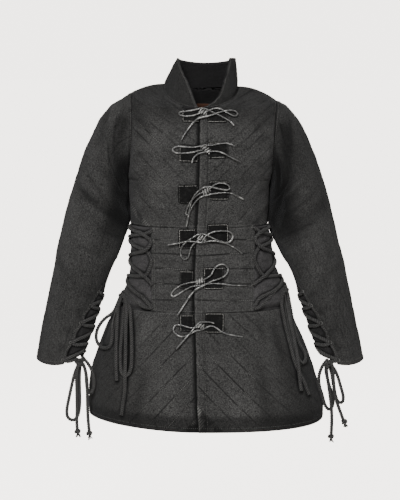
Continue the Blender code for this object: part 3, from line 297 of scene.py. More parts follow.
# Routes of the side laces below the holes, as (x, z), (x, z, lift), or (x, z, lift, y) in the free air.
SIDE_LOOP = {
    RIGHT: ((-119, -491, 3.8), (-134, -486), (-152, -476), (-167, -467), (-177, -468, 3.6),
            (-183, -481, 4.0), (-189, -497, 5.0), (-202, -512, 0, -44), (-222, -527, 0, -42),
            (-236, -545, 0, -42), (-242, -563, 0, -44), (-240, -580, 0, -48), (-230, -591, 0, -54),
            (-216, -592, 4.0), (-204, -584, 3.6), (-200, -566), (-199, -545), (-195, -522),
            (-187, -500, 3.6), (-178, -483, 3.6)),
    LEFT: ((126, -491, 3.8), (139, -483), (154, -470), (172, -454), (188, -449, 3.6),
           (196, -457, 3.6), (200, -474), (203, -500), (208, -530), (214, -556),
           (222, -578), (232, -597), (238, -611), (235, -622), (226, -622),
           (219, -611), (213, -592), (205, -564), (198, -533), (193, -503),
           (189, -480), (186, -466, 3.5)),
}
SIDE_SECOND_LOOP = (
    (-166, -485, 3.6), (-159, -497), (-157, -517), (-155, -548), (-154, -586),
    (-155, -620), (-161, -638), (-171, -644), (-178, -635), (-180, -614),
    (-180, -584), (-177, -556), (-174, -528), (-172, -505), (-170, -488, 3.5),
)
SIDE_ENDS = {
    RIGHT: ((-189, -657), (-190, -622), (-190, -584), (-189, -546, 3.6), (-186, -518, 5.6),
            (-182, -496, 8.1), (-174, -477, 8.3), (-166, -481, 8.2), (-163, -500, 8.1), (-165, -530, 7.8),
            (-166, -566, 7.2), (-166, -604, 7.8), (-167, -640, 8.0), (-169, -674, 5.0), (-174, -704),
            (-178, -733)),
    LEFT: ((225, -679), (221, -660, 4.4), (217, -636, 7.6), (213, -606, 8.1), (207, -572, 8.1),
           (200, -538, 8.1), (196, -505, 8.1), (194, -480, 8.2), (188, -462, 8.3), (181, -470, 7.2),
           (181, -490, 4.0), (186, -518), (193, -550), (201, -580), (208, -608),
           (216, -630), (225, -648), (235, -670), (243, -691)),
}
# The laced forearms: rows of the holes down the front edge of the opening and down its back edge.
ARM_HOLES = (
    # front row, back row
    (8.6, 8.87),
    (9.1, 9.38),
    (9.7, 10.0),
    (10.3, 10.62),
    (10.84, None),
)
ARM_FRONT_HOLE = 9.0  # degrees in front of the opening's front edge
ARM_BACK_HOLE = 184.0
# Routes of the forearm laces below the cuff, as (x, y, z).
ARM_LOOP = {
    RIGHT: ((-280, -70, -623), (-284, -70, -634), (-291, -69, -652), (-298, -67, -680), (-305, -65, -711),
            (-310, -64, -737), (-309, -63, -754), (-300, -62, -762), (-290, -62, -760), (-283, -62, -745),
            (-280, -62, -720), (-280, -62, -690), (-280, -62, -660), (-279, -63, -642), (-277, -65, -629)),
    LEFT: ((286, -77, -619), (280, -76, -627), (274, -75, -640), (270, -74, -657), (272, -73, -679),
           (279, -72, -701), (285, -71, -723), (295, -70, -736), (303, -69, -728), (304, -69, -706),
           (297, -69, -685), (290, -70, -661), (286, -71, -642), (287, -73, -628)),
}
ARM_SECOND_LOOP = {
    RIGHT: ((-275, -53, -610), (-270, -61, -616), (-262, -65, -624), (-254, -65, -637), (-248, -65, -654),
            (-246, -64, -674), (-249, -63, -691), (-256, -62, -699), (-262, -62, -692), (-264, -62, -675),
            (-265, -62, -652), (-268, -64, -637), (-271, -66, -627)),
    LEFT: ((293, -77, -626), (303, -78, -634), (312, -78, -652), (320, -77, -678), (327, -76, -704),
           (325, -75, -717), (315, -74, -716), (308, -73, -696), (303, -73, -670), (299, -73, -647),
           (294, -74, -634)),
}
ARM_ENDS = {
    RIGHT: ((-285, -68, -790), (-287, -68, -766), (-286, -68, -733), (-286, -69, -695), (-286, -71, -658),
            (-283, -74, -634), (-277, -73.8, -621), (-270, -71.2, -628), (-266, -68.5, -642),
            (-263, -67, -660), (-262, -66, -688), (-262, -66, -722), (-261, -66, -757), (-258, -66, -795)),
    LEFT: ((300, -75, -800), (301, -75, -764), (300, -75, -733), (296, -76, -700), (291, -77, -667),
           (287, -80, -641), (287.5, -86, -621), (295, -91.5, -619), (301, -86, -634), (303.5, -80, -667),
           (309, -78.5, -705), (319, -79, -735), (330, -79, -764)),
}
LABEL = (-13.0, 33.0, 18.0, 17.05)   # x from and to, and the back's rows at its top and bottom
LABEL_LIFT = 1.7      # clears the edges between the back's faces
LABEL_THICKNESS = 0.8

# ---- quilting, creases and edges, in millimetres ----
# Quilted lines of the chest: heights at these distances from the middle, from the top line down.
CHEST_STATIONS = (0, 40, 80, 120, 160)
CHEST_LINES = (
    (-40, -10, 16, 34, 50),
    (-84, -52, -26, -3, 16),
    (-126, -95, -67, -43, -20),
    (-166, -136, -103, -69, -37),
    (-205, -168, -130, -94, -58),
    (-238, -199, -158, -118, -79),
    (-283, -243, -203, -163, -124),
    (-318, -275, -232, -190, -150),
    (-346, -303, -256, -212, -170),
    (-388, -343, -297, -257, -216),
    (-432, -388, -343, -300, -258),
)
BACK_CHEST_LINES = (
    (-24, 4, 30, 52, 70),
    (-66, -36, -8, 16, 38),
    (-108, -76, -46, -18, 6),
    (-150, -118, -86, -55, -27),
    (-193, -159, -126, -94, -64),
    (-236, -201, -166, -132, -101),
    (-279, -243, -207, -172, -139),
    (-322, -285, -248, -212, -178),
    (-365, -327, -289, -252, -217),
    (-408, -370, -331, -293, -257),
    (-450, -411, -372, -333, -297),
)
# Quilted lines of the waist: heights.
WAIST_LINES = (-303, -337, -369, -403, -436, -470, -504)
# Quilted lines of the skirt: heights 80 mm round from the middle; they fall to the sides.
SKIRT_LINES = (-170, -214, -259, -303, -348, -391, -436, -468, -503, -545, -592, -642, -688, -736, -782)
SKIRT_FALL = 1.02
SLEEVE_LINES = 14     # down the sleeve, all round it
# Small creases of the fronts, from one point to another: x, z, x, z, height (troughs below 0), half width.
FRONT_CREASES = (
    (-150, -60, -112, -92, -2.6, 7), (-152, -96, -118, -118, -2.0, 6), (-150, -150, -122, -142, -1.6, 6),
    (-152, -186, -126, -170, 1.7, 7), (-92, -30, -60, -62, -1.8, 7), (-64, -20, -44, -58, 1.6, 6),
    (-46, -86, -84, -118, -1.3, 6), (-52, -150, -96, -160, -1.2, 7), (-56, -236, -104, -228, -1.3, 6),
    (-64, -262, -120, -252, 1.2, 8), (-150, -214, -120, -236, -1.8, 8), (-156, -250, -130, -262, 1.4, 6),
    (-58, -292, -62, -320, -1.1, 5), (-82, -294, -80, -316, -1.2, 5), (-98, -296, -92, -324, 1.1, 5),
    (150, -66, 118, -96, -2.4, 7), (153, -104, 124, -124, -2.2, 7), (154, -142, 126, -146, 1.8, 8),
    (150, -176, 120, -164, -2.0, 7), (96, -26, 64, -66, -1.7, 7), (60, -14, 44, -54, 1.5, 6),
    (58, -140, 100, -134, -1.2, 7), (62, -214, 112, -196, -1.3, 7), (60, -232, 104, -242, 1.2, 7),
    (148, -222, 118, -246, -1.7, 8), (152, -260, 126, -270, 1.3, 6), (66, -292, 64, -322, -1.2, 5),
    (92, -294, 88, -320, 1.1, 5), (112, -296, 104, -322, -1.2, 5),
    (-58, -350, -100, -356, -1.5, 4), (-60, -388, -104, -382, -1.4, 4), (-52, -418, -102, -424, -1.6, 5),
    (-48, -452, -104, -448, 1.3, 5), (-50, -484, -96, -478, -1.2, 4), (64, -352, 104, -346, -1.5, 4),
    (58, -384, 104, -390, 1.4, 5), (60, -420, 106, -414, -1.6, 5), (54, -452, 104, -456, -1.2, 4),
    (56, -480, 100, -486, 1.1, 4),
    (-40, -508, -46, -548, -1.5, 6), (-76, -508, -84, -540, -1.2, 6), (-120, -508, -134, -562, 1.6, 8),
    (-150, -516, -172, -590, -2.0, 10), (46, -508, 54, -552, -1.4, 6), (88, -508, 98, -536, 1.2, 6),
    (128, -508, 146, -566, -1.6, 8), (160, -520, 186, -604, -2.2, 11), (-128, -620, -150, -752, -2.2, 16),
    (-64, -640, -72, -756, 1.6, 18), (132, -610, 152, -752, -2.4, 17), (70, -630, 80, -756, 1.6, 18),
)
BACK_CREASES = (
    (-148, -70, -104, -104, -2.6, 8), (-150, -128, -112, -134, 2.0, 8), (-150, -180, -116, -164, -2.2, 8),
    (148, -66, 108, -98, -2.5, 8), (150, -122, 110, -138, 1.9, 8), (150, -184, 118, -170, -2.1, 8),
    (-40, -276, 44, -284, -1.6, 7), (-120, -258, -60, -276, 1.4, 7), (124, -262, 66, -280, -1.5, 7),
    (-70, -36, -40, -70, -1.6, 7), (72, -36, 44, -72, 1.5, 7), (-58, -300, -64, -330, -1.2, 5),
    (30, -300, 34, -326, -1.2, 5), (84, -300, 90, -328, 1.1, 5), (-104, -350, -60, -356, -1.3, 5),
    (50, -384, 108, -378, -1.4, 5), (-98, -424, -46, -418, 1.3, 5), (40, -456, 98, -462, -1.3, 5),
    (-52, -508, -60, -556, -1.6, 7), (58, -508, 68, -560, 1.5, 7), (-140, -600, -160, -748, -2.4, 16),
    (-40, -620, -46, -752, 1.8, 18), (66, -610, 78, -750, -2.2, 17), (150, -590, 176, -744, 1.9, 16),
)
# Small creases of the sleeves: row, degrees, row, degrees, height, half width.
ARM_CREASES = {
    RIGHT: ((0.4, 40, 1.8, 96, -2.0, 6), (0.7, 20, 1.5, 48, 1.8, 7), (1.6, 66, 3.0, 100, -1.8, 6),
            (2.4, 88, 3.1, 140, -1.8, 7), (4.1, 40, 4.6, 118, -1.6, 6), (4.8, 18, 5.0, 86, -1.8, 6),
            (5.2, 58, 5.5, 132, 1.6, 6), (5.9, 96, 6.3, 158, -1.7, 7), (6.8, 60, 7.2, 130, -1.2, 6),
            (7.6, 30, 8.2, 84, -1.2, 8), (8.6, 112, 8.9, 146, -1.6, 5), (9.2, 96, 9.45, 130, -1.6, 5),
            (9.85, 86, 10.1, 120, -1.6, 5), (10.35, 80, 10.6, 110, -1.4, 5), (2.0, 230, 2.8, 300, -2.0, 9),
            (4.0, 215, 4.4, 300, 1.8, 8), (5.1, 225, 5.6, 310, -2.0, 8), (6.2, 215, 6.8, 290, -1.6, 8),
            (8.0, 240, 8.8, 310, 1.5, 9), (0.5, 250, 1.5, 300, -2.0, 8)),
    LEFT: ((0.4, 60, 1.9, 84, -2.4, 5), (0.5, 96, 3.2, 108, 2.2, 8), (1.2, 112, 3.0, 124, -2.4, 6),
           (1.2, 30, 2.2, 70, -1.6, 7), (3.4, 100, 3.7, 150, -1.6, 6), (4.0, 60, 4.2, 120, 1.4, 6),
           (4.9, 44, 5.2, 126, -1.8, 6), (5.9, 60, 6.2, 140, -1.6, 6), (6.6, 84, 7.1, 150, 1.5, 7),
           (7.6, 30, 8.2, 90, -1.2, 8), (8.6, 112, 8.9, 146, -1.6, 5), (9.2, 96, 9.45, 130, -1.6, 5),
           (9.85, 86, 10.1, 120, -1.6, 5), (10.35, 80, 10.6, 110, -1.4, 5), (2.0, 236, 2.9, 300, -2.0, 9),
           (4.1, 215, 4.5, 300, 1.8, 8), (5.2, 225, 5.6, 310, -2.0, 8), (6.3, 215, 6.8, 290, -1.6, 8),
           (8.1, 240, 8.9, 310, 1.5, 9), (0.5, 250, 1.5, 300, -2.0, 8)),
}
# Steps in from a seam or an edge, where the cloth's faces are small.
NEAR_STEPS = (0.8, 1.0, 1.2, 1.5, 1.5, 1.5, 1.5, 1.8, 2.2, 2.7)
HEM_STITCH = 9.0      # the sewn line in from a hem
EDGE_STITCH = 5.6     # and in from the front edge and the laced edges
LACED_STITCH = EDGE_STITCH + 4.5   # the second line beside the lacing holes
SEAM_STITCH = 3.2     # beside the waist seams
LAP_STITCH = 18.0     # the line that holds the left front's facing
BOUND_STITCH = 2.6    # close beside the left front's edge
SLEEVE_ROW = 58.0     # millimetres from a row of SLEEVE to the next
SLEEVE_DEGREE = 1.3   # and from a degree round it to the next
ARM_CREASE_STRENGTH = 1.35
# How pale the sleeves are painted, as painted shade.
SLEEVE_SHADE = {
    # less on the inner side, from and to these turns towards it; in all; less at the top, fading out from
    # and to these rows; less at the cuff
    RIGHT: (0.9, 0.0, 0.62, 0.92, 0.08, 1.0, 3.5, 0.17),
    LEFT: (0.92, -0.15, 0.55, 0.78, 0.18, 2.0, 5.5, 0.12),
}
# How far the sleeve presses out against the body's side, down its inner side, at these rows.
BULGE_ROWS = (0.3, 1, 3.4, 4, 5, 6, 7.5)
BULGE = {RIGHT: (0, 1.6, 2.0, 2.8, 6.6, 4.0, 0), LEFT: (0, 1.9, 2.1, 2.4, 4.8, 3.0, 0)}
BACK_WAIST_END = 0.95 # how far round the back waist panel reaches: 1 is the side seam
STUDIO_WHITE = (0.90, 0.86, 0.81, 1.0)


def smooth(start, end, value):
    share = min(max((value - start) / (end - start), 0.0), 1.0)
    return share * share * (3 - 2 * share)


def unit(vector):
    return vector / np.linalg.norm(vector)


def distances(line):
    """How far along a line each of its points is."""
    return np.insert(np.cumsum(np.linalg.norm(np.diff(line, axis=0), axis=1)), 0, 0)


def spread(stops, gone, points):
    """The places at these stops along a line whose points lie this far along it."""
    return np.array([np.interp(stops, gone, column) for column in points.T]).T


def through(rows, place):
    """A smooth curve through a table's rows, at a place counted in rows."""
    rows = np.asarray(rows, float)
    i = min(max(int(math.floor(place)), 0), len(rows) - 2)
    f = place - i
    first, second = rows[i], rows[i + 1]
    before = rows[i - 1] if i > 0 else 2 * first - second
    after = rows[i + 2] if i + 2 < len(rows) else 2 * second - first
    return 0.5 * (
        2 * first
        + (second - before) * f
        + (2 * before - 5 * first + 4 * second - after) * f * f
        + (3 * first - before - 3 * second + after) * f * f * f
    )


def by_column(rows, value):
    """A table's later columns at a value of its first one, on straight lines."""
    rows = sorted(rows)
    keys = [row[0] for row in rows]
    return [np.interp(value, keys, [row[i] for row in rows]) for i in range(1, len(rows[0]))]


def neckline(degrees, side):
    """The seam between body and collar; 0 is the middle of the back and 180 the front."""
    angle = math.radians(degrees)
    c = math.cos(angle)
    high = NECK_POINT_Z[side]
    if c >= 0:
        y = NECK_Y + NECK_BACK_DEPTH * c
        z = high + (NECK_BACK_Z - high) * c
    else:
        y = NECK_Y + NECK_FRONT_DEPTH * c
        z = high + (NECK_PIT_Z - high) * (-c) ** 0.8
    return np.array([side * NECK_HALF_WIDTH * math.sin(angle), y, z])


def armhole(degrees, side):
    """The armhole seam; 0 is the shoulder tip, 90 the front, 180 the armpit and 270 the back."""
    tip_x, tip_z, pit_x, front, back, inset = ARMHOLE[side]
    angle = math.radians(degrees)
    share = (1 - math.cos(angle)) / 2
    s = math.sin(angle)
    x = tip_x + (pit_x - tip_x) * share - inset * s * s
    y = ARMHOLE_Y * (1 - share) - (front if s > 0 else back) * s
    z = tip_z + (ARMPIT_Z - tip_z) * share
    return np.array([side * x, y, z])


def body_ends(side, row, front):
    """The middle point and the side point of one row of the body."""
    if row <= ARMPIT:
        z, right, left, fore, aft = through(RINGS, row)
        middle = np.array([0.0, -fore if front else aft, z])
        return middle, np.array([side * (right if side == RIGHT else left), 0.0, z])
    start = FRONT_NECK_ROW if front else BACK_NECK_ROW
    yoke = FRONT_YOKE if front else BACK_YOKE
    neck, arm = yoke_degrees(row, front)
    if row >= start:
        middle = neckline(neck, side)
    else:
        y, z = through([line[:2] for line in yoke[:start - ARMPIT + 1]], row - ARMPIT)
        middle = np.array([0.0, y, z])
    return middle, armhole(arm if front else 360 - arm, side)


def yoke_degrees(row, front):
    """Where a row above the armpit starts on the neckline and ends on the armhole."""
    yoke = FRONT_YOKE if front else BACK_YOKE
    places = range(len(yoke))
    return [np.interp(row - ARMPIT, places, [line[i] for line in yoke]) for i in (2, 3)]


def body(side, s, row, front=True):
    """The cloth's outside before laps: s runs from the middle, 0, to the side or armhole, 1."""
    middle, edge = body_ends(side, row, front)
    straight = smooth(ARMPIT + 2, TOP, row)
    q = (1 - straight) * math.sin(s * math.pi / 2) + straight * s
    n = 2.1 + 0.15 * smooth(WAIST_HIGH - 1, WAIST_HIGH + 2, row)
    if front:
        n += (HEM_ROUNDNESS[side] - 2.1) * (1 - smooth(0, WAIST_LOW, row))
    depth = (1 - straight) * max(1 - abs(q) ** n, 0.0) ** (1 / n) + straight * (1 - abs(q) ** 1.3)
    y = edge[1] + (middle[1] - edge[1]) * depth
    x = middle[0] + (edge[0] - middle[0]) * q
    z = middle[2] + (edge[2] - middle[2]) * q * q
    return np.array([x, y, z])


def body_normal(side, s, row, front=True):
    step = 0.01
    low, high = max(row - step, 0), min(row + step, TOP)
    along = body(side, s, high, front) - body(side, s, low, front)
    across = body(side, min(s + step, 1), row, front) - body(side, s - step, row, front)
    if s > 0.999 and row <= ARMPIT:
        across = np.array([0.0, 1.0 if front else -1.0, 0.0])
    if row > TOP - 0.001:
        along = np.array([0.0, 1.0 if front else -1.0, 0.0])
    normal = unit(np.cross(across, along)) * side
    return normal if front else -normal


def ring_row(z):
    """The row of RINGS at a height."""
    return float(np.interp(z, [ring[0] for ring in RINGS], range(len(RINGS))))


def edge_x(z):
    return by_column(FRONT_EDGE, z)[0]


def front_place(x, z, side):
    """(point, normal) of a front at this x and z, set back where it runs under the other one."""
    s, row = find_front(x, z, side)
    point, normal = body(side, s, row), body_normal(side, s, row)
    if side == LEFT:
        return point, normal
    sunk = 1 - smooth(3.0, LAP_BLEND, side * (point[0] - edge_x(point[2])))
    return point - normal * (LAP_WALL + SEAM_GAP) * sunk, normal


def s_at_x(side, x, row):
    """The s at which a row of the body has this x."""
    middle, edge = body_ends(side, row, True)
    share = (x - middle[0]) / (edge[0] - middle[0])
    straight = smooth(ARMPIT + 2, TOP, row)
    s = math.asin(min(max(share, -1), 1)) / (math.pi / 2)
    for _ in range(6):
        q = (1 - straight) * math.sin(s * math.pi / 2) + straight * s
        s -= (q - share) / ((1 - straight) * math.cos(s * math.pi / 2) * math.pi / 2 + straight + 1e-6)
    return s


def find_front(x, z, side):
    """(s, row) of the front of the body at this x and z."""
    s, row = 0.3, ring_row(z) if z <= ARMPIT_Z else ARMPIT + (z - ARMPIT_Z) / 33
    for _ in range(12):
        here = body(side, s, row)
        ds = body(side, s + 0.002, row) - here
        dr = body(side, s, row + 0.002) - here
        slope = np.array([[ds[0], dr[0]], [ds[2], dr[2]]]) / 0.002
        miss = np.array([x - here[0], z - here[2]])
        move = np.linalg.solve(slope, miss)
        s = min(max(s + min(max(move[0], -0.2), 0.2), -0.3), 0.985)
        row = min(max(row + min(max(move[1], -1.5), 1.5), 0.0), TOP - 0.02)
    return s, row


def over_front(x, z, lift=CORD_REST):
    """The point of the fronts at this x and z, moved out by lift; the right edge isn't set back."""
    side = LEFT if x > 0 else RIGHT
    s, row = find_front(x, z, side)
    return body(side, s, row) + body_normal(side, s, row) * lift


def sleeve_ring(side, row):
    """(outer end, inner end, front depth, back depth, middle's y) of one row of the sleeve."""
    out_z, out_right, out_left, in_z, in_right, in_left, *depths = through(SLEEVE, row - 1)
    out_x, in_x = (out_right, in_right) if side == RIGHT else (out_left, in_left)
    return np.array([side * out_x, 0, out_z]), np.array([side * in_x, 0, in_z]), *depths


def sleeve_plain(side, degrees, row):
    """The sleeve's outside without folds; row 0 is the armhole."""
    angle = math.radians(degrees)
    c, s = math.cos(angle), math.sin(angle)
    outer, inner, front, back, middle_y = sleeve_ring(side, max(row, 1))
    point = (outer + inner) / 2 + (outer - inner) / 2 * c
    point = point + np.array([0, middle_y - (front if s > 0 else back) * s, 0])
    drop = smooth(CUFF - 1.6, CUFF, row) * CUFF_FRONT_DROP
    point[2] -= drop * s * s if s > 0 else -0.3 * drop * s * s
    if row < 1:
        seam = armhole(degrees, side)
        return seam + (point - seam) * row
    return point


def sleeve_normal(side, degrees, row):
    low, high = max(row - 0.05, 0), min(row + 0.05, CUFF)
    along = sleeve_plain(side, degrees, high) - sleeve_plain(side, degrees, low)
    across = sleeve_plain(side, degrees + 2, row) - sleeve_plain(side, degrees - 2, row)
    return unit(np.cross(across, along)) * side


def fold_depth(side, point):
    """How far the folds draw the cloth in at a point of the sleeve, or at each of many."""
    depth = 0.0
    for row_a, deg_a, row_b, deg_b, most, width in SLEEVE_FOLDS[side]:
        a = sleeve_plain(side, deg_a, row_a)
        b = sleeve_plain(side, deg_b, row_b)
        middle = sleeve_plain(side, (deg_a + deg_b) / 2, (row_a + row_b) / 2)
        for p, q in ((a, middle), (middle, b)):
            share = np.clip((point - p) @ (q - p) / np.dot(q - p, q - p), 0, 1)
            away = np.linalg.norm(point - p - np.multiply.outer(share, q - p), axis=-1) / width
            depth = np.maximum(depth, most * np.exp(-away * away))
    return depth


def sleeve_surface(side, degrees, row):
    point = sleeve_plain(side, degrees, row)
    normal = sleeve_normal(side, degrees, row)
    return point - normal * fold_depth(side, point) * smooth(0, 0.8, row), normal


def collar_edge(share, side):
    """How far round a front edge of the collar stands, in degrees, at a share of its height."""
    return by_column(COLLAR_EDGES, share)[0 if side == RIGHT else 1]


def collar_point(side, degrees, share):
    angle = math.radians(degrees)
    c, s = math.cos(angle), math.sin(angle)
    base = neckline(degrees, side)
    top_z = COLLAR_TOP_SIDE_Z + (COLLAR_TOP_BACK_Z - COLLAR_TOP_SIDE_Z) * max(c, 0) ** 1.5
    depth = COLLAR_TOP_BACK_DEPTH if c >= 0 else COLLAR_TOP_FRONT_DEPTH
    top = np.array([COLLAR_LEAN + side * COLLAR_TOP_HALF_WIDTH * s, NECK_Y + depth * c, top_z])
    bulge = 1 + 0.02 * math.sin(math.pi * share)
    point = base + (top - base) * share
    return np.array([point[0] * bulge, point[1] * bulge, point[2]])


def laced_edge_s(side, row):
    """How far round the front waist panel reaches, to its laced edge."""
    return s_at_x(side, side * LACED_EDGE_X[side], row)


def round_side(side, w, z, lift):
    """A point over the waist: w runs from the front, 0, past the side seam, 1, to the back."""
    row, front, s = ring_row(z), w <= 1, min(w, 2 - w)
    return body(side, s, row, front) + body_normal(side, s, row, front) * lift


def crossings(holes):
    """The places of a cord laced to and fro, as (share of the way across, place down the holes)."""
    places = []
    stops = [place for pair in holes for place in pair if place is not None]
    for i, (start, end) in enumerate(zip(stops, stops[1:])):
        for across, down in CROSSING:
            places.append((across if i % 2 == 0 else 1 - across, start + (end - start) * down))
    return places + [(0.0, stops[-1])]


def round_at(side, x, z):
    """How far round the side a point of the front is, and its height."""
    return s_at_x(side, side * x, ring_row(z)), z


def laced(side, stops, over, lift):
    """A cord's points from stop to stop round a side, with soft turns, lifted at the stops it goes over."""
    flat = np.array(stops) * (SIDE_ARC, 1)
    gone = np.insert(np.cumsum(np.hypot(*np.diff(flat, axis=0).T)), 0, 0)
    past = 18    # the line runs on past its ends, so that smoothing keeps them in place
    steps = np.arange(-past, gone[-1] + past, 1.0)
    line = spread(steps, gone, flat)
    for at, start, far, way in ((steps < 0, flat[0], 0, flat[1] - flat[0]),
                                (steps > gone[-1], flat[-1], gone[-1], flat[-1] - flat[-2])):
        line[at] = start + np.outer(steps[at] - far, unit(way))
    weights = np.exp(-(np.arange(-14, 15) / 4.6) ** 2 / 2)
    weights /= weights.sum()
    line = np.array([np.convolve(line[:, i], weights, "same") for i in (0, 1)]).T[past:1 - past]
    points = []
    for place in np.linspace(0, len(line) - 1, int(gone[-1] / 8.5)):
        w, z = line[int(place)]
        near = min([abs(place - gone[i]) for i in over], default=99)
        rise = lift + 1.4 * CROSSING_LIFT * math.exp(-(near / 15) ** 4)
        rise -= (2.8 + 2.4 * smooth(-326, -318, z)) * math.exp(-((w / SIDE_ARC - 1.04) / 0.08) ** 4)
        points.append(round_side(side, w / SIDE_ARC, z, rise))
    return points


def side_crossings(side):
    """The points of the two ends of a side's cord, down to their last holes."""
    front = [round_at(side, FRONT_HOLE_X[side], z) for z in FRONT_HOLES[side]]
    back = [(BACK_HOLE_W, z) for z in BACK_HOLES]
    cross = [round_at(side, x, z) for x, z in CROSSED[side]]
    first = laced(side, [front[0], cross[0], back[1], cross[1], front[2], cross[2], back[3],
                         round_at(side, 128, -469), front[4]], (), CORD_LIFT)
    second = laced(side, [back[0], cross[0], front[1], cross[1], back[2], cross[2], front[3]],
                   (1, 3, 5), CORD_LIFT)
    return first, second


def hung(route):
    """The points of a route over the fronts, or through the air where a row has a y."""
    return [np.array([row[0], row[3], row[1]], float) if len(row) == 4 else over_front(*row)
            for row in route]


def over_sleeve(side, degrees, row, lift):
    point, normal = sleeve_surface(side, degrees, row)
    return point + normal * lift


def arm_crossings(side):
    points = []
    for share, row in crossings(ARM_HOLES):
        start = by_column(SLIT_EDGES, row)[0] - ARM_FRONT_HOLE
        degrees = start + (ARM_BACK_HOLE - start) * share
        points.append(over_sleeve(side, degrees, row, CORD_LIFT - 2.6 * smooth(150, 175, degrees)))
    return points


# ---- what a user would change ----
def length_setting(name, description, default, least, most):
    return FloatProperty(name=name, description=description, default=default, min=least, max=most,
                         unit="LENGTH")


def colour_setting(name, description, *default):
    return FloatVectorProperty(name=name, description=description, subtype="COLOR", size=3, default=default)


class JacketSizes(bpy.types.PropertyGroup):
    cell: length_setting("Cell", "Size of the cloth's faces away from its seams", 0.0034, 0.002, 0.02)
    puff: length_setting("Puff", "Rise of the wadding between two quilted lines", 0.0017, 0.0, 0.006)
    crease: FloatProperty(name="Crease", description="Strength of the small creases", default=1.0,
                          min=0.0, max=3.0)
    lace: length_setting("Leather lace", "Width of the leather ties", 0.0038, 0.001, 0.008)
    cord: length_setting("Cotton cord", "Diameter of the cotton lacing", 0.0076, 0.001, 0.008)
    strands: IntProperty(name="Strands", description="Strands twisted together in a cotton cord",
                         default=3, min=2, max=5)


class JacketColours(bpy.types.PropertyGroup):
    cloth: colour_setting("Cloth", "Faded black canvas", 0.0275, 0.0270, 0.0263)
    underlay: colour_setting("Underlay", "Cloth behind the lacing", 0.034, 0.0325, 0.033)
    # darker than the cloth: painted shade on the inside of the pieces
    lining: colour_setting("Lining", "Inside of the padded pieces", 0.017, 0.0162, 0.0168)
    leather: colour_setting("Leather", "Patches", 0.0055, 0.0054, 0.0054)
    lace: colour_setting("Lace", "Leather ties", 0.034, 0.0335, 0.032)
    cord: colour_setting("Cord", "Cotton lacing", 0.046, 0.045, 0.044)
    thread: colour_setting("Thread", "Sewing thread", 0.13, 0.128, 0.122)
    waxed: colour_setting("Waxed thread", "Pale thread round the patches", 0.28, 0.273, 0.255)
    label: colour_setting("Label", "Plain label in the neck", 0.070, 0.031, 0.019)
    floor: colour_setting("Floor", "Studio floor", 0.80, 0.79, 0.77)


def sizes():
    return bpy.context.scene.jacket_sizes


def colours():
    return bpy.context.scene.jacket_colours


# ---- shader nodes ----
def feed(tree, inputs, values):
    """Gives inputs, by name or number, plain values or links from other nodes."""
    for key, value in values.items():
        if isinstance(value, bpy.types.NodeSocket):
            tree.links.new(value, inputs[key])
        else:
            inputs[key].default_value = value


def node(tree, kind, values=None, **settings):
    """A new shader node with its own settings and the values of its inputs."""
    made = tree.nodes.new("ShaderNode" + kind)
    for key, value in settings.items():
        setattr(made, key, value)
    feed(tree, made.inputs, values or {})
    return made


def math_node(tree, operation, *values):
    return node(tree, "Math", dict(enumerate(values)), operation=operation).outputs[0]


def times(tree, *values):
    return math_node(tree, "MULTIPLY", *values)


def between(tree, value, low, high, to_low=0.0, to_high=1.0):
    """A value's place between two others, held to its ends."""
    return node(tree, "MapRange", {"Value": value, "From Min": low, "From Max": high, "To Min": to_low,
                                   "To Max": to_high}).outputs[0]


def mixed(tree, share, first, second):
    return node(tree, "Mix", {0: share, 6: first, 7: second}, data_type="RGBA").outputs[2]


def scaled(tree, vector, amount):
    return node(tree, "VectorMath", {0: vector, "Scale": amount}, operation="SCALE").outputs[0]


def noise(tree, vector, scale, detail=3.0, rough=0.55):
    return node(tree, "TexNoise", {"Vector": vector, "Scale": scale, "Detail": detail,
                                   "Roughness": rough}).outputs[0]


def on_object(tree):
    return node(tree, "TexCoord").outputs["Object"]


def laid(tree, name):
    """A UV map that the cloth or cord was made with."""
    return node(tree, "UVMap", uv_map=name).outputs[0]


def laid_parts(tree, name):
    return node(tree, "SeparateXYZ", {0: laid(tree, name)}).outputs


def group(name, inputs, outputs):
    """An empty node group and its ends. Inputs are (name, kind, default), outputs are names of values."""
    tree = bpy.data.node_groups.new(name, "ShaderNodeTree")
    for label, kind, default in inputs:
        socket = tree.interface.new_socket(label, in_out="INPUT", socket_type="NodeSocket" + kind)
        if default is not None:
            socket.default_value = default
    for label in outputs:
        kind = "Color" if label == "Color" else "Float"
        tree.interface.new_socket(label, in_out="OUTPUT", socket_type="NodeSocket" + kind)
    return tree, tree.nodes.new("NodeGroupInput").outputs, tree.nodes.new("NodeGroupOutput").inputs


def woven_grain():
    """Plain weave: crossed threads of uneven thickness, with slubs. Takes a vector in metres."""
    tree, given, out = group("woven_grain", [("Vector", "Vector", None), ("Threads", "Float", 900.0)],
                             ("Height", "Fleck"))
    bent = scaled(tree, given["Vector"], given["Threads"])
    threads = [node(tree, "TexWave", {"Vector": bent, "Scale": 0.32, "Distortion": 1.6, "Detail": 2.0,
                                      "Detail Scale": 0.6}, bands_direction=axis).outputs[1]
               for axis in ("X", "Y")]
    slubs = []
    for long_way in ((0.13, 0.62, 1.0), (0.62, 0.13, 1.0)):
        drawn = node(tree, "VectorMath", {0: bent, 1: long_way}, operation="MULTIPLY").outputs[0]
        slubs.append(noise(tree, drawn, 1.0, 2.0, 0.6))
    slub = math_node(tree, "MAXIMUM", *slubs)
    speck = between(tree, noise(tree, bent, 0.36, 3.0, 0.75), 0.50, 0.70, 0.0, 0.75)
    fleck = math_node(tree, "ADD", between(tree, slub, 0.56, 0.76, 0.0, 0.55), speck)
    feed(tree, out, {"Height": math_node(tree, "MULTIPLY_ADD", slub, 0.8, times(tree, *threads)),
                     "Fleck": fleck})
    return tree


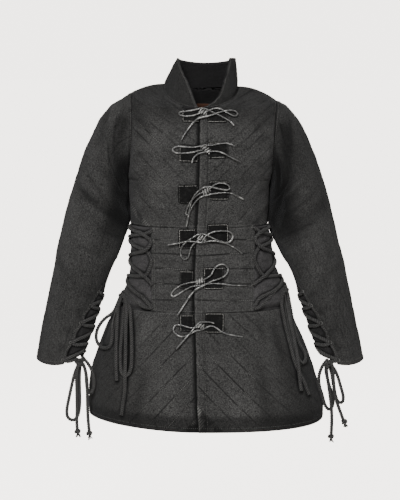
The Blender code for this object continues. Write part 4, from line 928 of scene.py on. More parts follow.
def faded_dye():
    """Dye that has faded unevenly: broad clouds, smaller patches and a fine mottle."""
    tree, given, out = group("faded_dye", [("Color", "Color", None), ("Vector", "Vector", None),
                                           ("Amount", "Float", 0.5)], ("Color",))
    total = noise(tree, given["Vector"], 5.0)
    for scale, detail, share in ((38.0, 4.0, 0.5), (230.0, 2.0, 0.7), (460.0, 2.0, 3.2)):
        finer = noise(tree, given["Vector"], scale, detail, 0.6)
        total = math_node(tree, "MULTIPLY_ADD", finer, share, total)
    centred = math_node(tree, "SUBTRACT", total, 2.7)
    gain = math_node(tree, "MULTIPLY_ADD", times(tree, centred, given["Amount"]), 2.0, 1.0)
    feed(tree, out, {"Color": scaled(tree, given["Color"], gain)})
    return tree


def sewn_line():
    """A quilted line from a place counted in lines, their spacing and the distance along them."""
    tree, given, out = group("sewn_line", [("Place", "Float", 0.5), ("Spacing", "Float", 0.03),
                                           ("Along", "Float", 0.0)], ("Thread", "Groove", "Pucker"))
    away = times(tree, math_node(tree, "PINGPONG", given["Place"], 0.5), given["Spacing"])
    near = between(tree, away, 0.0006, 0.0009, 1.0, 0.0)
    dash = math_node(tree, "FRACT", math_node(tree, "DIVIDE", given["Along"], 0.0046))
    place = node(tree, "CombineXYZ", {"X": times(tree, given["Along"], 95.0), "Y": times(tree, away, 26.0),
                                      "Z": math_node(tree, "ROUND", given["Place"])}).outputs[0]
    fade = between(tree, away, 0.0, 0.013, 1.0, 0.0)
    feed(tree, out, {"Thread": times(tree, near, math_node(tree, "LESS_THAN", dash, 0.64)),
                     "Groove": between(tree, away, 0.0006, 0.0022, 1.0, 0.0),
                     "Pucker": times(tree, noise(tree, place, 1.0, 2.0), fade)})
    return tree


def leather_grain():
    """Leather's pebbled grain with its finer pores, and a mask of rubbed high places, which on the laces also
    stand as painted highlight.
    """
    tree, given, out = group("leather_grain", [("Vector", "Vector", None), ("Scale", "Float", 700.0)],
                             ("Height", "Rubbed_and_highlight"))
    cells = node(tree, "TexVoronoi", {"Vector": given["Vector"], "Scale": given["Scale"]},
                 feature="DISTANCE_TO_EDGE").outputs[0]
    pores = noise(tree, given["Vector"], 1800.0, 2.0, 0.6)
    feed(tree, out, {"Height": math_node(tree, "MULTIPLY_ADD", pores, 0.4, between(tree, cells, 0.0, 0.28)),
                     "Rubbed_and_highlight": between(tree, noise(tree, given["Vector"], 110.0, 4.0, 0.7), 0.50, 0.61)})
    return tree


def placed(tree, make_group, **values):
    """The outputs of a node group, which is made the first time it is asked for."""
    shared = bpy.data.node_groups.get(make_group.__name__) or make_group()
    return node(tree, "Group", values, node_tree=shared).outputs


def blank(name):
    """A new material, its node tree and the inputs of its Principled shader."""
    made = bpy.data.materials.new(name)
    made.use_nodes = True
    return made, made.node_tree, made.node_tree.nodes["Principled BSDF"].inputs


def rgba(colour, gain=1.0, more=0.0):
    """A colour with its alpha, made paler or deeper."""
    return (*(min(c * gain + more, 1) for c in colour), 1.0)


def bump(tree, height, distance, strength=1.0, below=None):
    made = node(tree, "Bump", {"Height": height, "Distance": distance, "Strength": strength})
    if below is not None:
        tree.links.new(below, made.inputs["Normal"])
    return made.outputs[0]


def canvas_material(name, colour, fading, lint):
    """Quilted cotton canvas: weave, quilting thread in its grooves, lint, and rubbed edges."""
    made, tree, shader = blank(name)
    where = on_object(tree)
    quilting, seams, dyed_and_shaded = (laid_parts(tree, kind) for kind in ("quilting", "seams", "dye_and_shade"))
    grain = placed(tree, woven_grain, Vector=laid(tree, "weave"))
    line = placed(tree, sewn_line, Place=quilting[0], Along=quilting[1], Spacing=seams[1])
    pale, deep = rgba(colour, 4.0, 0.014), rgba(colour, 0.16)
    groove = times(tree, line["Groove"], dyed_and_shaded[1])
    thread_shows = times(tree, times(tree, line["Thread"], dyed_and_shaded[1]),
                         between(tree, noise(tree, where, 21.0, 2.0), 0.51, 0.60))
    rub = times(tree, between(tree, seams[0], 0.0, 0.006, 1.0, 0.0),
                between(tree, noise(tree, where, 60.0, 3.0, 0.6), 0.42, 0.66))
    base = placed(tree, faded_dye, Color=rgba(colour), Vector=where, Amount=fading)[0]
    for share, shade in ((times(tree, grain["Fleck"], lint), pale), (times(tree, groove, 0.95), deep),
                         (between(tree, seams[0], 0.0006, 0.0030, 0.88, 0.0), deep),
                         (times(tree, rub, 0.28), pale),
                         (times(tree, thread_shows, 0.85), rgba(colours().thread))):
        base = mixed(tree, share, base, shade)
    puckers = bump(tree, line["Pucker"], 0.0016, 0.8)
    thread = bump(tree, math_node(tree, "SUBTRACT", times(tree, thread_shows, 0.7), groove),
                  0.0007, 0.9, puckers)
    lumpy = bump(tree, noise(tree, where, 150.0, 4.0, 0.65), 0.0013, 0.7, thread)
    # the dye map's first value darkens the colour by painted shade as well as by the dye
    feed(tree, shader, {
        "Base Color": scaled(tree, base, dyed_and_shaded[0]),
        "Roughness": math_node(tree, "SUBTRACT", 0.93, times(tree, thread_shows, 0.2)),
        "Specular IOR Level": 0.16, "Sheen Weight": 0.05, "Sheen Roughness": 0.45,
        "Sheen Tint": (0.75, 0.76, 0.78, 1.0), "Normal": bump(tree, grain["Height"], 0.00035, 0.9, lumpy)})
    return made


def plain_cloth_material(name, colour, fading, threads=900.0):
    """Unquilted cotton cloth."""
    made, tree, shader = blank(name)
    where = on_object(tree)
    grain = placed(tree, woven_grain, Vector=laid(tree, "weave"), Threads=threads)
    base = placed(tree, faded_dye, Color=rgba(colour), Vector=where, Amount=fading)[0]
    base = mixed(tree, times(tree, grain["Fleck"], 0.3), base, rgba(colour, 2.4, 0.01))
    lumpy = bump(tree, noise(tree, where, 110.0, 4.0, 0.6), 0.0012, 0.5)
    # the dye map's first value darkens the colour by painted shade as well as by the dye
    feed(tree, shader, {"Base Color": scaled(tree, base, laid_parts(tree, "dye_and_shade")[0]), "Roughness": 0.94,
                        "Specular IOR Level": 0.16, "Sheen Weight": 0.04,
                        "Normal": bump(tree, grain["Height"], 0.0003, 0.9, lumpy)})
    return made


def leather_material(name, colour, rubbed_and_highlight, rough, scale, depth, shine):
    """Leather with pebbled grain, paler and smoother where it is rubbed; on the laces and knots these pale
    places are partly painted highlight.
    """
    made, tree, shader = blank(name)
    where = on_object(tree)
    grain = placed(tree, leather_grain, Vector=where, Scale=scale)
    base = placed(tree, faded_dye, Color=rgba(colour), Vector=where, Amount=0.35)[0]
    feed(tree, shader, {"Base Color": mixed(tree, times(tree, grain["Rubbed_and_highlight"], 0.6), base, rgba(rubbed_and_highlight)),
                        "Roughness": math_node(tree, "MULTIPLY_ADD", grain["Rubbed_and_highlight"], -0.12, rough),
                        "Specular IOR Level": shine, "Normal": bump(tree, grain["Height"], depth, 0.7)})
    return made


def twisted_material(name, colour, pale, scale, grooved=False):
    """Cotton yarn: fine fibres and lint on dyed strands, with painted shade in the grooves of the twist."""
    made, tree, shader = blank(name)
    where = on_object(tree)
    base = placed(tree, faded_dye, Color=rgba(colour), Vector=where, Amount=0.5)[0]
    fibre = noise(tree, where, scale, 5.0, 0.75)
    base = mixed(tree, between(tree, fibre, 0.5, 0.75, 0.0, 0.7), base, rgba(pale))
    if grooved:
        # painted shade in the grooves between the strands
        base = mixed(tree, laid_parts(tree, "dye_and_shade")[0], rgba(colour, 0.12), base)
    feed(tree, shader, {"Base Color": base, "Roughness": 0.9, "Specular IOR Level": 0.12,
                        "Sheen Weight": 0.05, "Normal": bump(tree, fibre, 0.0004, 0.8)})
    return made


def floor_material():
    made, tree, shader = blank("studio_floor")
    clouds = between(tree, noise(tree, on_object(tree), 0.8, 2.0), 0.3, 0.7, 0.0, 0.06)
    seen = node(tree, "LightPath").outputs["Is Camera Ray"]
    feed(tree, shader, {"Base Color": mixed(tree, clouds, rgba(colours().floor), (0.74, 0.73, 0.71, 1.0)),
                        "Roughness": 0.9, "Specular IOR Level": 0.1, "Emission Color": STUDIO_WHITE,
                        "Emission Strength": times(tree, seen, 4.5)})
    return made


def finish_of(name):
    """One of the jacket's materials by name, made the first time it is asked for."""
    c = colours()
    makers = {
        "faded_canvas": (canvas_material, c.cloth, 0.62, 0.36),
        "dark_underlay": (plain_cloth_material, c.underlay, 0.4),
        "plain_lining": (plain_cloth_material, c.lining, 0.3),
        "neck_label_cloth": (plain_cloth_material, c.label, 0.35, 1300.0),
        "patch_leather": (leather_material, c.leather, (0.012, 0.0118, 0.0115), 0.7, 520.0, 0.0004, 0.05),
        # the laces' pale rubbed places are partly painted highlight
        "lace_leather": (leather_material, c.lace, (0.36, 0.355, 0.34), 0.31, 900.0, 0.0002, 0.9),
        # a paler copy of the lace leather: painted highlight on the knots' wraps
        "knot_leather": (leather_material, tuple(4 * v for v in c.lace), (0.66, 0.65, 0.63), 0.3, 900.0,
                         0.0002, 1.0),
        "twisted_cotton": (twisted_material, c.cord, (0.085, 0.084, 0.082), 900.0, True),
        "sewing_thread": (twisted_material, tuple(0.6 * v for v in c.thread), (0.13, 0.13, 0.12), 1500.0),
        "waxed_thread": (twisted_material, c.waxed, (0.33, 0.32, 0.30), 1500.0),
    }
    make, *looks = makers[name]
    return bpy.data.materials.get(name) or make(name, *looks)


# ---- cloth as grids of points ----
def refine(values, places):
    """A smooth curve through evenly spaced values, read at places from 0 to 1."""
    count = len(values)
    place = np.clip(places, 0.0, 1.0) * (count - 1)
    i = np.minimum(place.astype(int), count - 2)
    f = (place - i).reshape((-1,) + (1,) * (values.ndim - 1))
    longer = np.concatenate([2 * values[:1] - values[1:2], values, 2 * values[-1:] - values[-2:-1]])
    a, b, c, d = (longer[i + k] for k in range(4))
    return 0.5 * (2 * b + (c - a) * f + (2 * a - 5 * b + 4 * c - d) * f * f
                  + (3 * b - a - 3 * c + d) * f * f * f)


def stations(length):
    """Places from 0 to 1 along a length of cloth, closer together near its two ends."""
    near = np.concatenate([[0.0], np.cumsum(NEAR_STEPS)])
    if length < 3 * near[-1]:
        return np.linspace(0, 1, max(8, int(length / 1.8)))
    room = length - 2 * near[-1]
    middle = np.linspace(near[-1], length - near[-1], int(room / (sizes().cell * 1000)) + 2)
    return np.concatenate([near[:-1], middle, length - near[-2::-1]]) / length


def smoothly(low, high, values):
    share = np.clip((values - low) / (high - low), 0, 1)
    return share * share * (3 - 2 * share)


def lumps(u, v, size, seed):
    """A smooth uneven surface from -1 to 1, about this size across, in the units of u and v."""
    chance = np.random.default_rng(seed)
    total = np.zeros_like(u)
    for _ in range(7):
        turn, first, second = chance.uniform(0, 2 * math.pi, 3)
        wave = size * chance.uniform(0.7, 1.7)
        along = u * math.cos(turn) + v * math.sin(turn)
        across = v * math.cos(turn) - u * math.sin(turn)
        total += np.sin(along * 2 * math.pi / wave + first
                        + 1.4 * np.sin(across * 2 * math.pi / (wave * 1.8) + second))
    return total / 4.5


def normals_of(points):
    across = np.gradient(points, axis=1)
    along = np.gradient(points, axis=0)
    normals = np.cross(across, along)
    return normals / np.maximum(np.linalg.norm(normals, axis=2, keepdims=True), 1e-9)


def mean_lengths(points):
    """A grid's mean length down its rows and its mean width across them."""
    return [np.linalg.norm(np.diff(points, axis=axis), axis=2).sum(axis=axis).mean() for axis in (0, 1)]


def travelled(points, axis):
    steps = np.linalg.norm(np.diff(points, axis=axis), axis=2)
    return np.insert(np.cumsum(steps, axis=axis), 0, 0, axis=axis)


class Cloth:
    """One grid of cloth: its points, outward normals and distances from its four edges."""

    def __init__(self, point_at, rows, columns, flip):
        shares = np.linspace(0, 1, columns)
        coarse = np.array([[point_at(row, share) for share in shares] for row in rows])
        row_at, share_at = (stations(length) for length in mean_lengths(coarse))
        fine = refine(coarse, row_at)
        self.points = refine(fine.swapaxes(0, 1), share_at).swapaxes(0, 1)
        self.rows = np.interp(row_at, np.linspace(0, 1, len(rows)), rows)[:, None]
        self.shares = np.interp(share_at, shares, shares)[None, :]
        self.flip = flip
        self.facing = -1 if flip else 1
        self.normals = normals_of(self.points) * self.facing
        self.across, self.along = travelled(self.points, 1), travelled(self.points, 0)
        self.low, self.high = self.along, self.along[-1:] - self.along
        self.first, self.last = self.across, self.across[:, -1:] - self.across
        self.x, self.z = self.points[:, :, 0], self.points[:, :, 2]
        shape = self.points.shape[:2]
        self.height = np.zeros(shape)   # the relief, in millimetres
        self.calm = np.ones(shape)      # the share of the relief that stays, less near seams
        self.weight = np.ones(shape)    # the share of the wall's thickness
        self.edge = np.full(shape, 1000.0)
        self.place, self.spacing, self.line_way = np.zeros(shape), np.full(shape, 30.0), self.across
        self.dye_and_shade = np.ones(shape)       # how pale the cloth is, 1 being its own colour: its uneven dye and the painted shade
        self.marked = np.ones(shape)    # how clearly the quilted lines show
        self.shade = np.zeros(shape)    # painted shade: troughs, below 0, are painted darker and ridges paler

    def mark(self, share, seed, size=130):
        """Shows the quilted lines unevenly, about this share of them."""
        self.marked = np.clip(share + 0.28 * lumps(self.across, self.along, size, seed), 0.5 * share, 1.0)

    def from_strands(self, strands):
        """How far sideways each place is from the strands lying within 25 mm over it."""
        least = np.full(self.z.shape, 1000.0)
        for point in strands:
            gap = self.points - point
            over = (gap * self.normals).sum(axis=2)
            aside = np.sqrt(np.maximum((gap ** 2).sum(axis=2) - over ** 2, 0))
            least = np.minimum(least, np.where(np.abs(over) < 25, aside, 1000.0))
        return least

    def quilt(self, lines, spacing, line_way, rise=1.0):
        """Puffs between the lines; lines holds each one's height over the grid, from the top down."""
        self.place = np.zeros(self.z.shape)
        self.spacing = np.full(self.z.shape, 34.0)
        for above, below in zip(lines, lines[1:]):
            share = np.clip((above - self.z) / (above - below), 0, 1)
            self.place += share
            inside = (share > 0) & (share < 1)
            self.spacing = np.where(inside, (above - below) * spacing, self.spacing)
        self.line_way = line_way
        self.puff(rise)

    def puff(self, rise=1.0):
        away = np.abs(self.place - np.round(self.place)) * self.spacing
        uneven = 1 + 0.28 * lumps(self.line_way, self.place * 40, 90, 5)
        shown = 0.45 + 0.55 * self.marked
        self.height += sizes().puff * 1000 * rise * uneven * shown * (1 - np.exp(-away / 5.0))
        # painted light on the puffs beside each quilted line
        self.shade += 0.8 * self.marked * np.exp(-((away - 5.5) / 3.0) ** 2)

    def creases(self, table, strength=1.0, over=None, units=(1, 1)):
        """Soft troughs and ridges, each fading at its ends, over x and z or other measures of the grid."""
        first, second = over or (self.x, self.z)
        for *ends, most, width in table:
            a, b, a_end, b_end = (value * size for value, size in zip(ends, 2 * units))
            da, db = a_end - a, b_end - b
            share = ((first - a) * da + (second - b) * db) / (da * da + db * db)
            held = np.clip(share, 0, 1)
            away = np.hypot(first - a - held * da, second - b - held * db)
            fade = smoothly(-0.25, 0.35, share) * (1 - smoothly(0.6, 1.25, share))
            rise = strength * sizes().crease * most * fade * np.exp(-(away / width) ** 2)
            self.height += rise
            # painted shade in each trough and painted light on each ridge
            self.shade += rise

    def uneven(self, seed, broad=1.0, fine=0.45):
        self.height += broad * lumps(self.across, self.along, 110, seed)
        self.height += fine * lumps(self.across, self.along, 26, seed + 1)
        self.height += 0.5 * fine * lumps(self.across, self.along, 13, seed + 2)

    def sewn(self, *distances):
        """These edges are seams: the cloth comes down to them."""
        for away in distances:
            self.calm *= 1 - np.exp(-away / 4.2)
            self.edge = np.minimum(self.edge, away)

    def hemmed(self, away, stitch=HEM_STITCH, share=1.0):
        """A finished edge: rolled under, thinner, with a sewn line inside it."""
        self.calm *= 1 - share * 0.75 * np.exp(-away / 7.0)
        self.height -= share * 1.3 * np.exp(-(away / 2.0) ** 2)
        self.height -= share * 0.9 * np.exp(-((away - stitch) / 1.3) ** 2)
        self.height += share * 0.5 * np.exp(-((away - stitch / 2) / 2.4) ** 2)
        self.weight *= 1 - share * 0.5 * np.exp(-(away / 2.6) ** 2)
        self.edge = np.minimum(self.edge, away + 40 * (1 - share))

    def dented(self, places, depth, width):
        """Dimples at points, as where a cord goes through."""
        for place in places:
            away = np.linalg.norm(self.points - np.asarray(place), axis=2)
            self.height -= depth * np.exp(-(away / width) ** 2)

    def flattened(self, boxes):
        """Flat under patches, given as x, z, width and height; the cloth round them is drawn in."""
        for x, z, width, height in boxes:
            dx = np.maximum(np.abs(self.x - x) - width / 2, 0)
            dz = np.maximum(np.abs(self.z - z) - height / 2, 0)
            away = np.hypot(dx, dz)
            self.height *= smoothly(0.0, 9.0, away)
            self.height -= 0.5 * np.exp(-((away - 2.5) / 2.2) ** 2)

    def settle(self):
        """Moves the points out by the relief, and paints the troughs darker and the ridges paler as shade."""
        relief = self.height * self.calm
        # painted shade in the troughs and painted light on the ridges
        self.dye_and_shade = self.dye_and_shade * np.clip(1 + 0.15 * self.shade, 0.35, 1.3)
        self.points = self.points + self.normals * relief[:, :, None]
        self.normals = normals_of(self.points) * self.facing


def linked(name, data):
    """A new object in the scene."""
    obj = bpy.data.objects.new(name, data)
    bpy.context.scene.collection.objects.link(obj)
    return obj


def vertex_values(mesh, name, values):
    """A UV map from values at the mesh's vertices."""
    layer = mesh.uv_layers.new(name=name)
    at = np.empty(len(mesh.loops), np.int32)
    mesh.loops.foreach_get("vertex_index", at)
    layer.data.foreach_set("uv", values[at].astype(np.float32).ravel())


def grid_mesh(name, cloth):
    rows, columns = cloth.points.shape[:2]
    bm = bmesh.new()
    bmesh.ops.create_grid(bm, x_segments=columns - 1, y_segments=rows - 1, size=1.0)
    mesh = bpy.data.meshes.new(name)
    bm.to_mesh(mesh)
    bm.free()

    def listed(values):
        return (values[:, ::-1] if cloth.flip else values).reshape(rows * columns, -1)

    mesh.vertices.foreach_set("co", (listed(cloth.points) * MM).astype(np.float32).ravel())
    vertex_values(mesh, "weave", np.hstack([listed(cloth.across), listed(cloth.along)]) * MM)
    vertex_values(mesh, "quilting", np.hstack([listed(cloth.place), listed(cloth.line_way) * MM]))
    vertex_values(mesh, "seams", np.hstack([listed(cloth.edge), listed(cloth.spacing)]) * MM)
    vertex_values(mesh, "dye_and_shade", np.hstack([listed(cloth.dye_and_shade), listed(cloth.marked)]))
    share = mesh.attributes.new("wall_share", "FLOAT", "POINT")
    share.data.foreach_set("value", listed(cloth.weight).astype(np.float32).ravel())
    return mesh


def wall_group(obj):
    """The wall's share of its full thickness, as a vertex group for the Solidify modifier."""
    shares = np.empty(len(obj.data.vertices), np.float32)
    obj.data.attributes["wall_share"].data.foreach_get("value", shares)
    levels = np.clip(np.round(shares * 40), 1, 40).astype(int)
    made = obj.vertex_groups.new(name="wall")
    for level in np.unique(levels):
        made.add(np.nonzero(levels == level)[0].tolist(), level / 40, "REPLACE")


def cloth_piece(name, cloths, stands_for, wall=WALL, finish="faded_canvas"):
    """One piece of cloth from its grids, joined where they meet, with its wall."""
    for cloth in cloths:
        cloth.settle()
    bm = bmesh.new()
    for cloth in cloths:
        mesh = grid_mesh(name, cloth)
        bm.from_mesh(mesh)
        bpy.data.meshes.remove(mesh)
    bmesh.ops.remove_doubles(bm, verts=bm.verts, dist=2e-5)
    mesh = bpy.data.meshes.new(name)
    bm.to_mesh(mesh)
    bm.free()
    mesh.shade_smooth()
    obj = linked(name, mesh)
    wall_group(obj)
    solid = obj.modifiers.new("wall", "SOLIDIFY")
    solid.thickness = wall * MM
    solid.offset = -1.0
    solid.vertex_group = "wall"
    solid.thickness_vertex_group = 0.0
    obj.data.materials.append(finish_of(finish))
    if finish == "faded_canvas":
        obj.data.materials.append(finish_of("plain_lining"))
        solid.material_offset = 1
    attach(obj, "root")
    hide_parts(stands_for)
    return obj


SEWN_LINES = []       # the lines of stitches, filled as the panels are made


def line_in(cloth, edge, away, low=-1, high=100):
    """The points and normals on a line this far in from one of a grid's four edges, between rows."""
    distance = getattr(cloth, edge)
    if edge in ("low", "high"):
        at = int(np.argmin(np.abs(distance.mean(axis=1) - away)))
        return cloth.points[at], cloth.normals[at]
    at = int(np.argmin(np.abs(distance.mean(axis=0) - away)))
    kept = (cloth.rows[:, 0] >= low) & (cloth.rows[:, 0] <= high)
    return cloth.points[kept, at], cloth.normals[kept, at]


def sew(cloth, *lines):
    SEWN_LINES.extend(line_in(cloth, *line) for line in lines)


# ---- the body's cloth ----
def front_start(side, row):
    """Where a row of a front starts, as s: at its lapped edge, or on the neckline."""
    if row > FRONT_NECK_ROW:
        return 0.0
    under = 0.5 - (LAP + 0.5) * (1 - smooth(FRONT_NECK_ROW - 2.2, FRONT_NECK_ROW, row))
    away = 0.0 if side == LEFT else under
    z = body_ends(side, row, True)[0][2]
    return s_at_x(side, edge_x(z) + side * away, row)


def body_cloth(side, rows, front, laced_edge=False):
    """A grid of one side of a front or the back, from the middle out."""
    spans = {}
    for row in rows:
        end = 1.0
        if laced_edge:
            end = laced_edge_s(side, row) if front else BACK_WAIST_END
        spans[row] = front_start(side, row) if front else 0.0, end

    def point_at(row, share):
        start, end = spans[row]
        return body(side, start + (end - start) * share, row, front)

    return Cloth(point_at, rows, 16, (side == RIGHT) == front)


def lapped(cloth, side):
    """Thins a front towards its edge, and sets the right one back under the left."""
    from_edge = side * (cloth.x - np.interp(cloth.z, *zip(*FRONT_EDGE)))
    if side == LEFT:
        thin = 1 - smoothly(LAP + 1, LAP + LAP_BLEND, from_edge)
    else:
        thin = 1 - smoothly(3.0, LAP_BLEND, from_edge)
        cloth.points = cloth.points - cloth.normals * ((LAP_WALL + SEAM_GAP) * thin)[:, :, None]
    cloth.weight *= 1 - (1 - LAP_WALL / WALL) * thin
    cloth.height *= 1 - thin * 0.85
    return from_edge


def patch_boxes(side):
    return [row[:4] if side == RIGHT else row[4:] for row in PATCHES]


def finish_front(cloth, side):
    """A front's lap, its sewn or hidden edge with a painted highlight on the left one and a painted shadow
    beside it on the right one, and the places under its patches.
    """
    from_edge = lapped(cloth, side)
    below_neck = smoothly(-44, -62, cloth.z)
    if side == LEFT:
        cloth.hemmed(np.abs(from_edge), EDGE_STITCH)
        line = np.exp(-((from_edge - LAP_STITCH) / 1.3) ** 2) * below_neck
        cloth.height -= 0.8 * line
        # painted highlight along the left front's edge; the facing's sewn line darker
        cloth.dye_and_shade *= (1 + 0.2 * np.exp(-((from_edge - 3) / 2.5) ** 2) * below_neck) * (1 - 0.5 * line)
    else:
        cloth.hemmed(cloth.first, EDGE_STITCH, 0.5)
        # painted shadow of the left front's edge on the right front
        cloth.dye_and_shade *= 1 - 0.93 * np.exp(-((from_edge - 0.8) / 7.2) ** 4) * below_neck
    cloth.flattened(patch_boxes(side))


def row_steps(low, high, step, *stops):
    inner = np.linspace(low, high, int(round((high - low) / step)) + 1)
    return sorted(set(np.round(inner, 4)) | set(stops))


CHEST_ROWS = row_steps(WAIST_HIGH, TOP, 0.25)
WAIST_ROWS = row_steps(WAIST_LOW, WAIST_HIGH, 0.25)
SKIRT_ROWS = row_steps(0, WAIST_LOW, 0.25)
CHEST_SEWN = (("low", SEAM_STITCH), ("last", 4.0), ("high", 3.0))
WAIST_SEWN = (("low", SEAM_STITCH), ("high", SEAM_STITCH), ("last", EDGE_STITCH), ("last", LACED_STITCH))
SKIRT_SEWN = (("low", HEM_STITCH), ("high", SEAM_STITCH))


def deepen(cloth):
    """Painted shade at the shoulders, towards the sides of the chest and skirt and in the band of the hem,
    and uneven tone at random.
    """
    x = np.abs(cloth.x)
    # painted shade; the last line is uneven tone at random
    cloth.dye_and_shade *= 1 - 0.46 * smoothly(-115, -40, cloth.z)
    cloth.dye_and_shade *= 1 - 0.5 * smoothly(125, 215, x) * smoothly(-480, -600, cloth.z)
    cloth.dye_and_shade *= 1 - 0.12 * smoothly(110, 160, x) * smoothly(-300, -200, cloth.z)
    cloth.dye_and_shade *= 1 - 0.55 * smoothly(-714, -730, cloth.z + 8 * (x / 260) ** 2)
    cloth.dye_and_shade *= 1 + 0.10 * lumps(cloth.x, cloth.z, 90, 121)


def quilt_chest(cloth, lines, seed):
    cloth.mark(0.46, seed)
    deepen(cloth)
    cloth.quilt([np.interp(np.abs(cloth.x), CHEST_STATIONS, heights) for heights in lines], 0.72,
                0.72 * np.abs(cloth.x) + 0.69 * cloth.z)


def quilt_waist(cloth, seed, waves, rise=1.0):
    cloth.mark(0.92, seed)
    cloth.quilt([z + 3 * waves for z in WAIST_LINES], 1.0, cloth.across, rise)


def quilt_skirt(cloth, seed):
    """The skirt's lines, which show best low down near the middle."""
    cloth.mark(0.85 - 0.5 * smoothly(60, 190, np.abs(cloth.x)) - 0.25 * smoothly(-640, -520, cloth.z), seed)
    deepen(cloth)
    reach = cloth.across - 80
    cloth.quilt([height - SKIRT_FALL * reach + 0.0004 * reach * reach for height in SKIRT_LINES], 0.71,
                0.7 * cloth.across - 0.7 * cloth.z)


def below_neckline(cloth, neck_row):
    """How far each place is from the neckline's seam, or much more in the rows below it."""
    neck = smoothly(neck_row - 0.3, neck_row + 0.1, cloth.rows) * np.ones_like(cloth.z)
    return cloth.first + 60 * (1 - neck)


def hanging(side):
    """Points down the side laces' loops and ends where they lie on the skirt."""
    routes = [SIDE_LOOP[side], SIDE_ENDS[side]] + ([SIDE_SECOND_LOOP] if side == RIGHT else [])
    return np.concatenate([dense(hung(route), 3.0) for route in routes])


def make_fronts():
    for side, word in SIDES:
        cloth = body_cloth(side, CHEST_ROWS, True)
        quilt_chest(cloth, CHEST_LINES, 101 + side)
        cloth.uneven(11 + side)
        cloth.creases(FRONT_CREASES)
        cloth.sewn(cloth.low, cloth.high, cloth.last)
        at_arm = smoothly(ARMPIT - 0.2, ARMPIT + 0.4, cloth.rows)
        cloth.dye_and_shade *= 1 - 0.5 * at_arm * np.exp(-(cloth.last / 4.5) ** 2)
        cloth.height += 1.3 * at_arm * np.exp(-((cloth.last - 7) / 2.6) ** 2)
        cloth.sewn(below_neckline(cloth, FRONT_NECK_ROW))
        finish_front(cloth, side)
        cloth_piece("chest_" + word, [cloth], "front_chest_" + word)
        sew(cloth, *CHEST_SEWN)
        if side == LEFT:
            sew(cloth, ("first", LAP_STITCH, 0, FRONT_NECK_ROW - 0.4),
                ("first", BOUND_STITCH, 0, FRONT_NECK_ROW))

        cloth = body_cloth(side, WAIST_ROWS, True, True)
        quilt_waist(cloth, 105 + side, lumps(cloth.across, cloth.along, 160, 3), 1.25)
        cloth.uneven(21 + side, 0.6, 0.4)
        cloth.creases(FRONT_CREASES)
        cloth.sewn(cloth.low, cloth.high)
        cloth.hemmed(cloth.last, EDGE_STITCH)
        cloth.dented(front_holes(side), 2.4, 5.0)
        finish_front(cloth, side)
        cloth_piece("waist_" + word, [cloth], "front_waist_" + word)
        sew(cloth, *WAIST_SEWN)
        if side == LEFT:
            sew(cloth, ("first", LAP_STITCH), ("first", BOUND_STITCH))

        cloth = body_cloth(side, SKIRT_ROWS, True)
        quilt_skirt(cloth, 109 + side)
        # painted shadow of the hanging cords on the skirt
        cloth.dye_and_shade *= 1 - 0.97 * np.exp(-(cloth.from_strands(hanging(side)) / 8.4) ** 4)
        cloth.uneven(31 + side, 1.6, 0.5)
        cloth.creases(FRONT_CREASES, 1.2)
        cloth.sewn(cloth.high, cloth.last)
        cloth.hemmed(cloth.low)
        finish_front(cloth, side)
        cloth_piece("skirt_" + word, [cloth], "front_skirt_" + word)
        sew(cloth, *SKIRT_SEWN)
        if side == LEFT:
            sew(cloth, ("first", LAP_STITCH), ("first", BOUND_STITCH))


def back_panel(name, stands_for, cloths, sewn):
    cloth_piece(name, cloths, stands_for)
    for cloth in cloths:
        sew(cloth, *sewn)


def make_back():
    cloths = [body_cloth(side, CHEST_ROWS, False) for side, _ in SIDES]
    for cloth in cloths:
        quilt_chest(cloth, BACK_CHEST_LINES, 113)
        cloth.height += 1.0 * lumps(cloth.x, cloth.z, 120, 41) + 0.45 * lumps(cloth.x, cloth.z, 26, 42)
        cloth.creases(BACK_CREASES)
        cloth.sewn(cloth.low, cloth.high, cloth.last, below_neckline(cloth, BACK_NECK_ROW))
    back_panel("back_upper", "back_chest", cloths, CHEST_SEWN)

    cloths = [body_cloth(side, WAIST_ROWS, False, True) for side, _ in SIDES]
    for (side, _), cloth in zip(SIDES, cloths):
        quilt_waist(cloth, 115, lumps(cloth.x, cloth.z, 160, 3))
        cloth.height += 0.6 * lumps(cloth.x, cloth.z, 110, 43) + 0.4 * lumps(cloth.x, cloth.z, 26, 44)
        cloth.creases(BACK_CREASES)
        cloth.sewn(cloth.low, cloth.high)
        cloth.hemmed(cloth.last, EDGE_STITCH)
        cloth.dented(back_holes(side), 2.4, 5.0)
    back_panel("back_middle", "back_waist", cloths, WAIST_SEWN)

    cloths = [body_cloth(side, SKIRT_ROWS, False) for side, _ in SIDES]
    for cloth in cloths:
        quilt_skirt(cloth, 117)
        cloth.height += 1.6 * lumps(cloth.x, cloth.z, 130, 45) + 0.5 * lumps(cloth.x, cloth.z, 26, 46)
        cloth.creases(BACK_CREASES, 1.2)
        cloth.sewn(cloth.high, cloth.last)
        cloth.hemmed(cloth.low)
    back_panel("back_lower", "back_skirt", cloths, SKIRT_SEWN)


def front_holes(side):
    return [round_side(side, *round_at(side, FRONT_HOLE_X[side], z), 0) for z in FRONT_HOLES[side]]


def back_holes(side):
    return [round_side(side, BACK_HOLE_W, z, 0) for z in BACK_HOLES]


# ---- sleeves, collar and the cloth behind the lacing ----
def opening_edges(row):
    """The two edges of the forearm opening, drawn together at its holes."""
    table = ((0.0, 165, 165), (8.2, 165, 165)) + SLIT_EDGES[1:]
    front, back = by_column(table, row)
    slack = smooth(8.5, 9.6, row)
    front_at = np.interp(row, [hole[0] for hole in ARM_HOLES], range(len(ARM_HOLES)))
    back_at = np.interp(row, [hole[1] for hole in ARM_HOLES[:-1]], range(len(ARM_HOLES) - 1))
    front -= 5.5 * slack * math.sin(math.pi * front_at) ** 2
    back += 3.5 * slack * math.sin(math.pi * back_at) ** 2
    return front, back


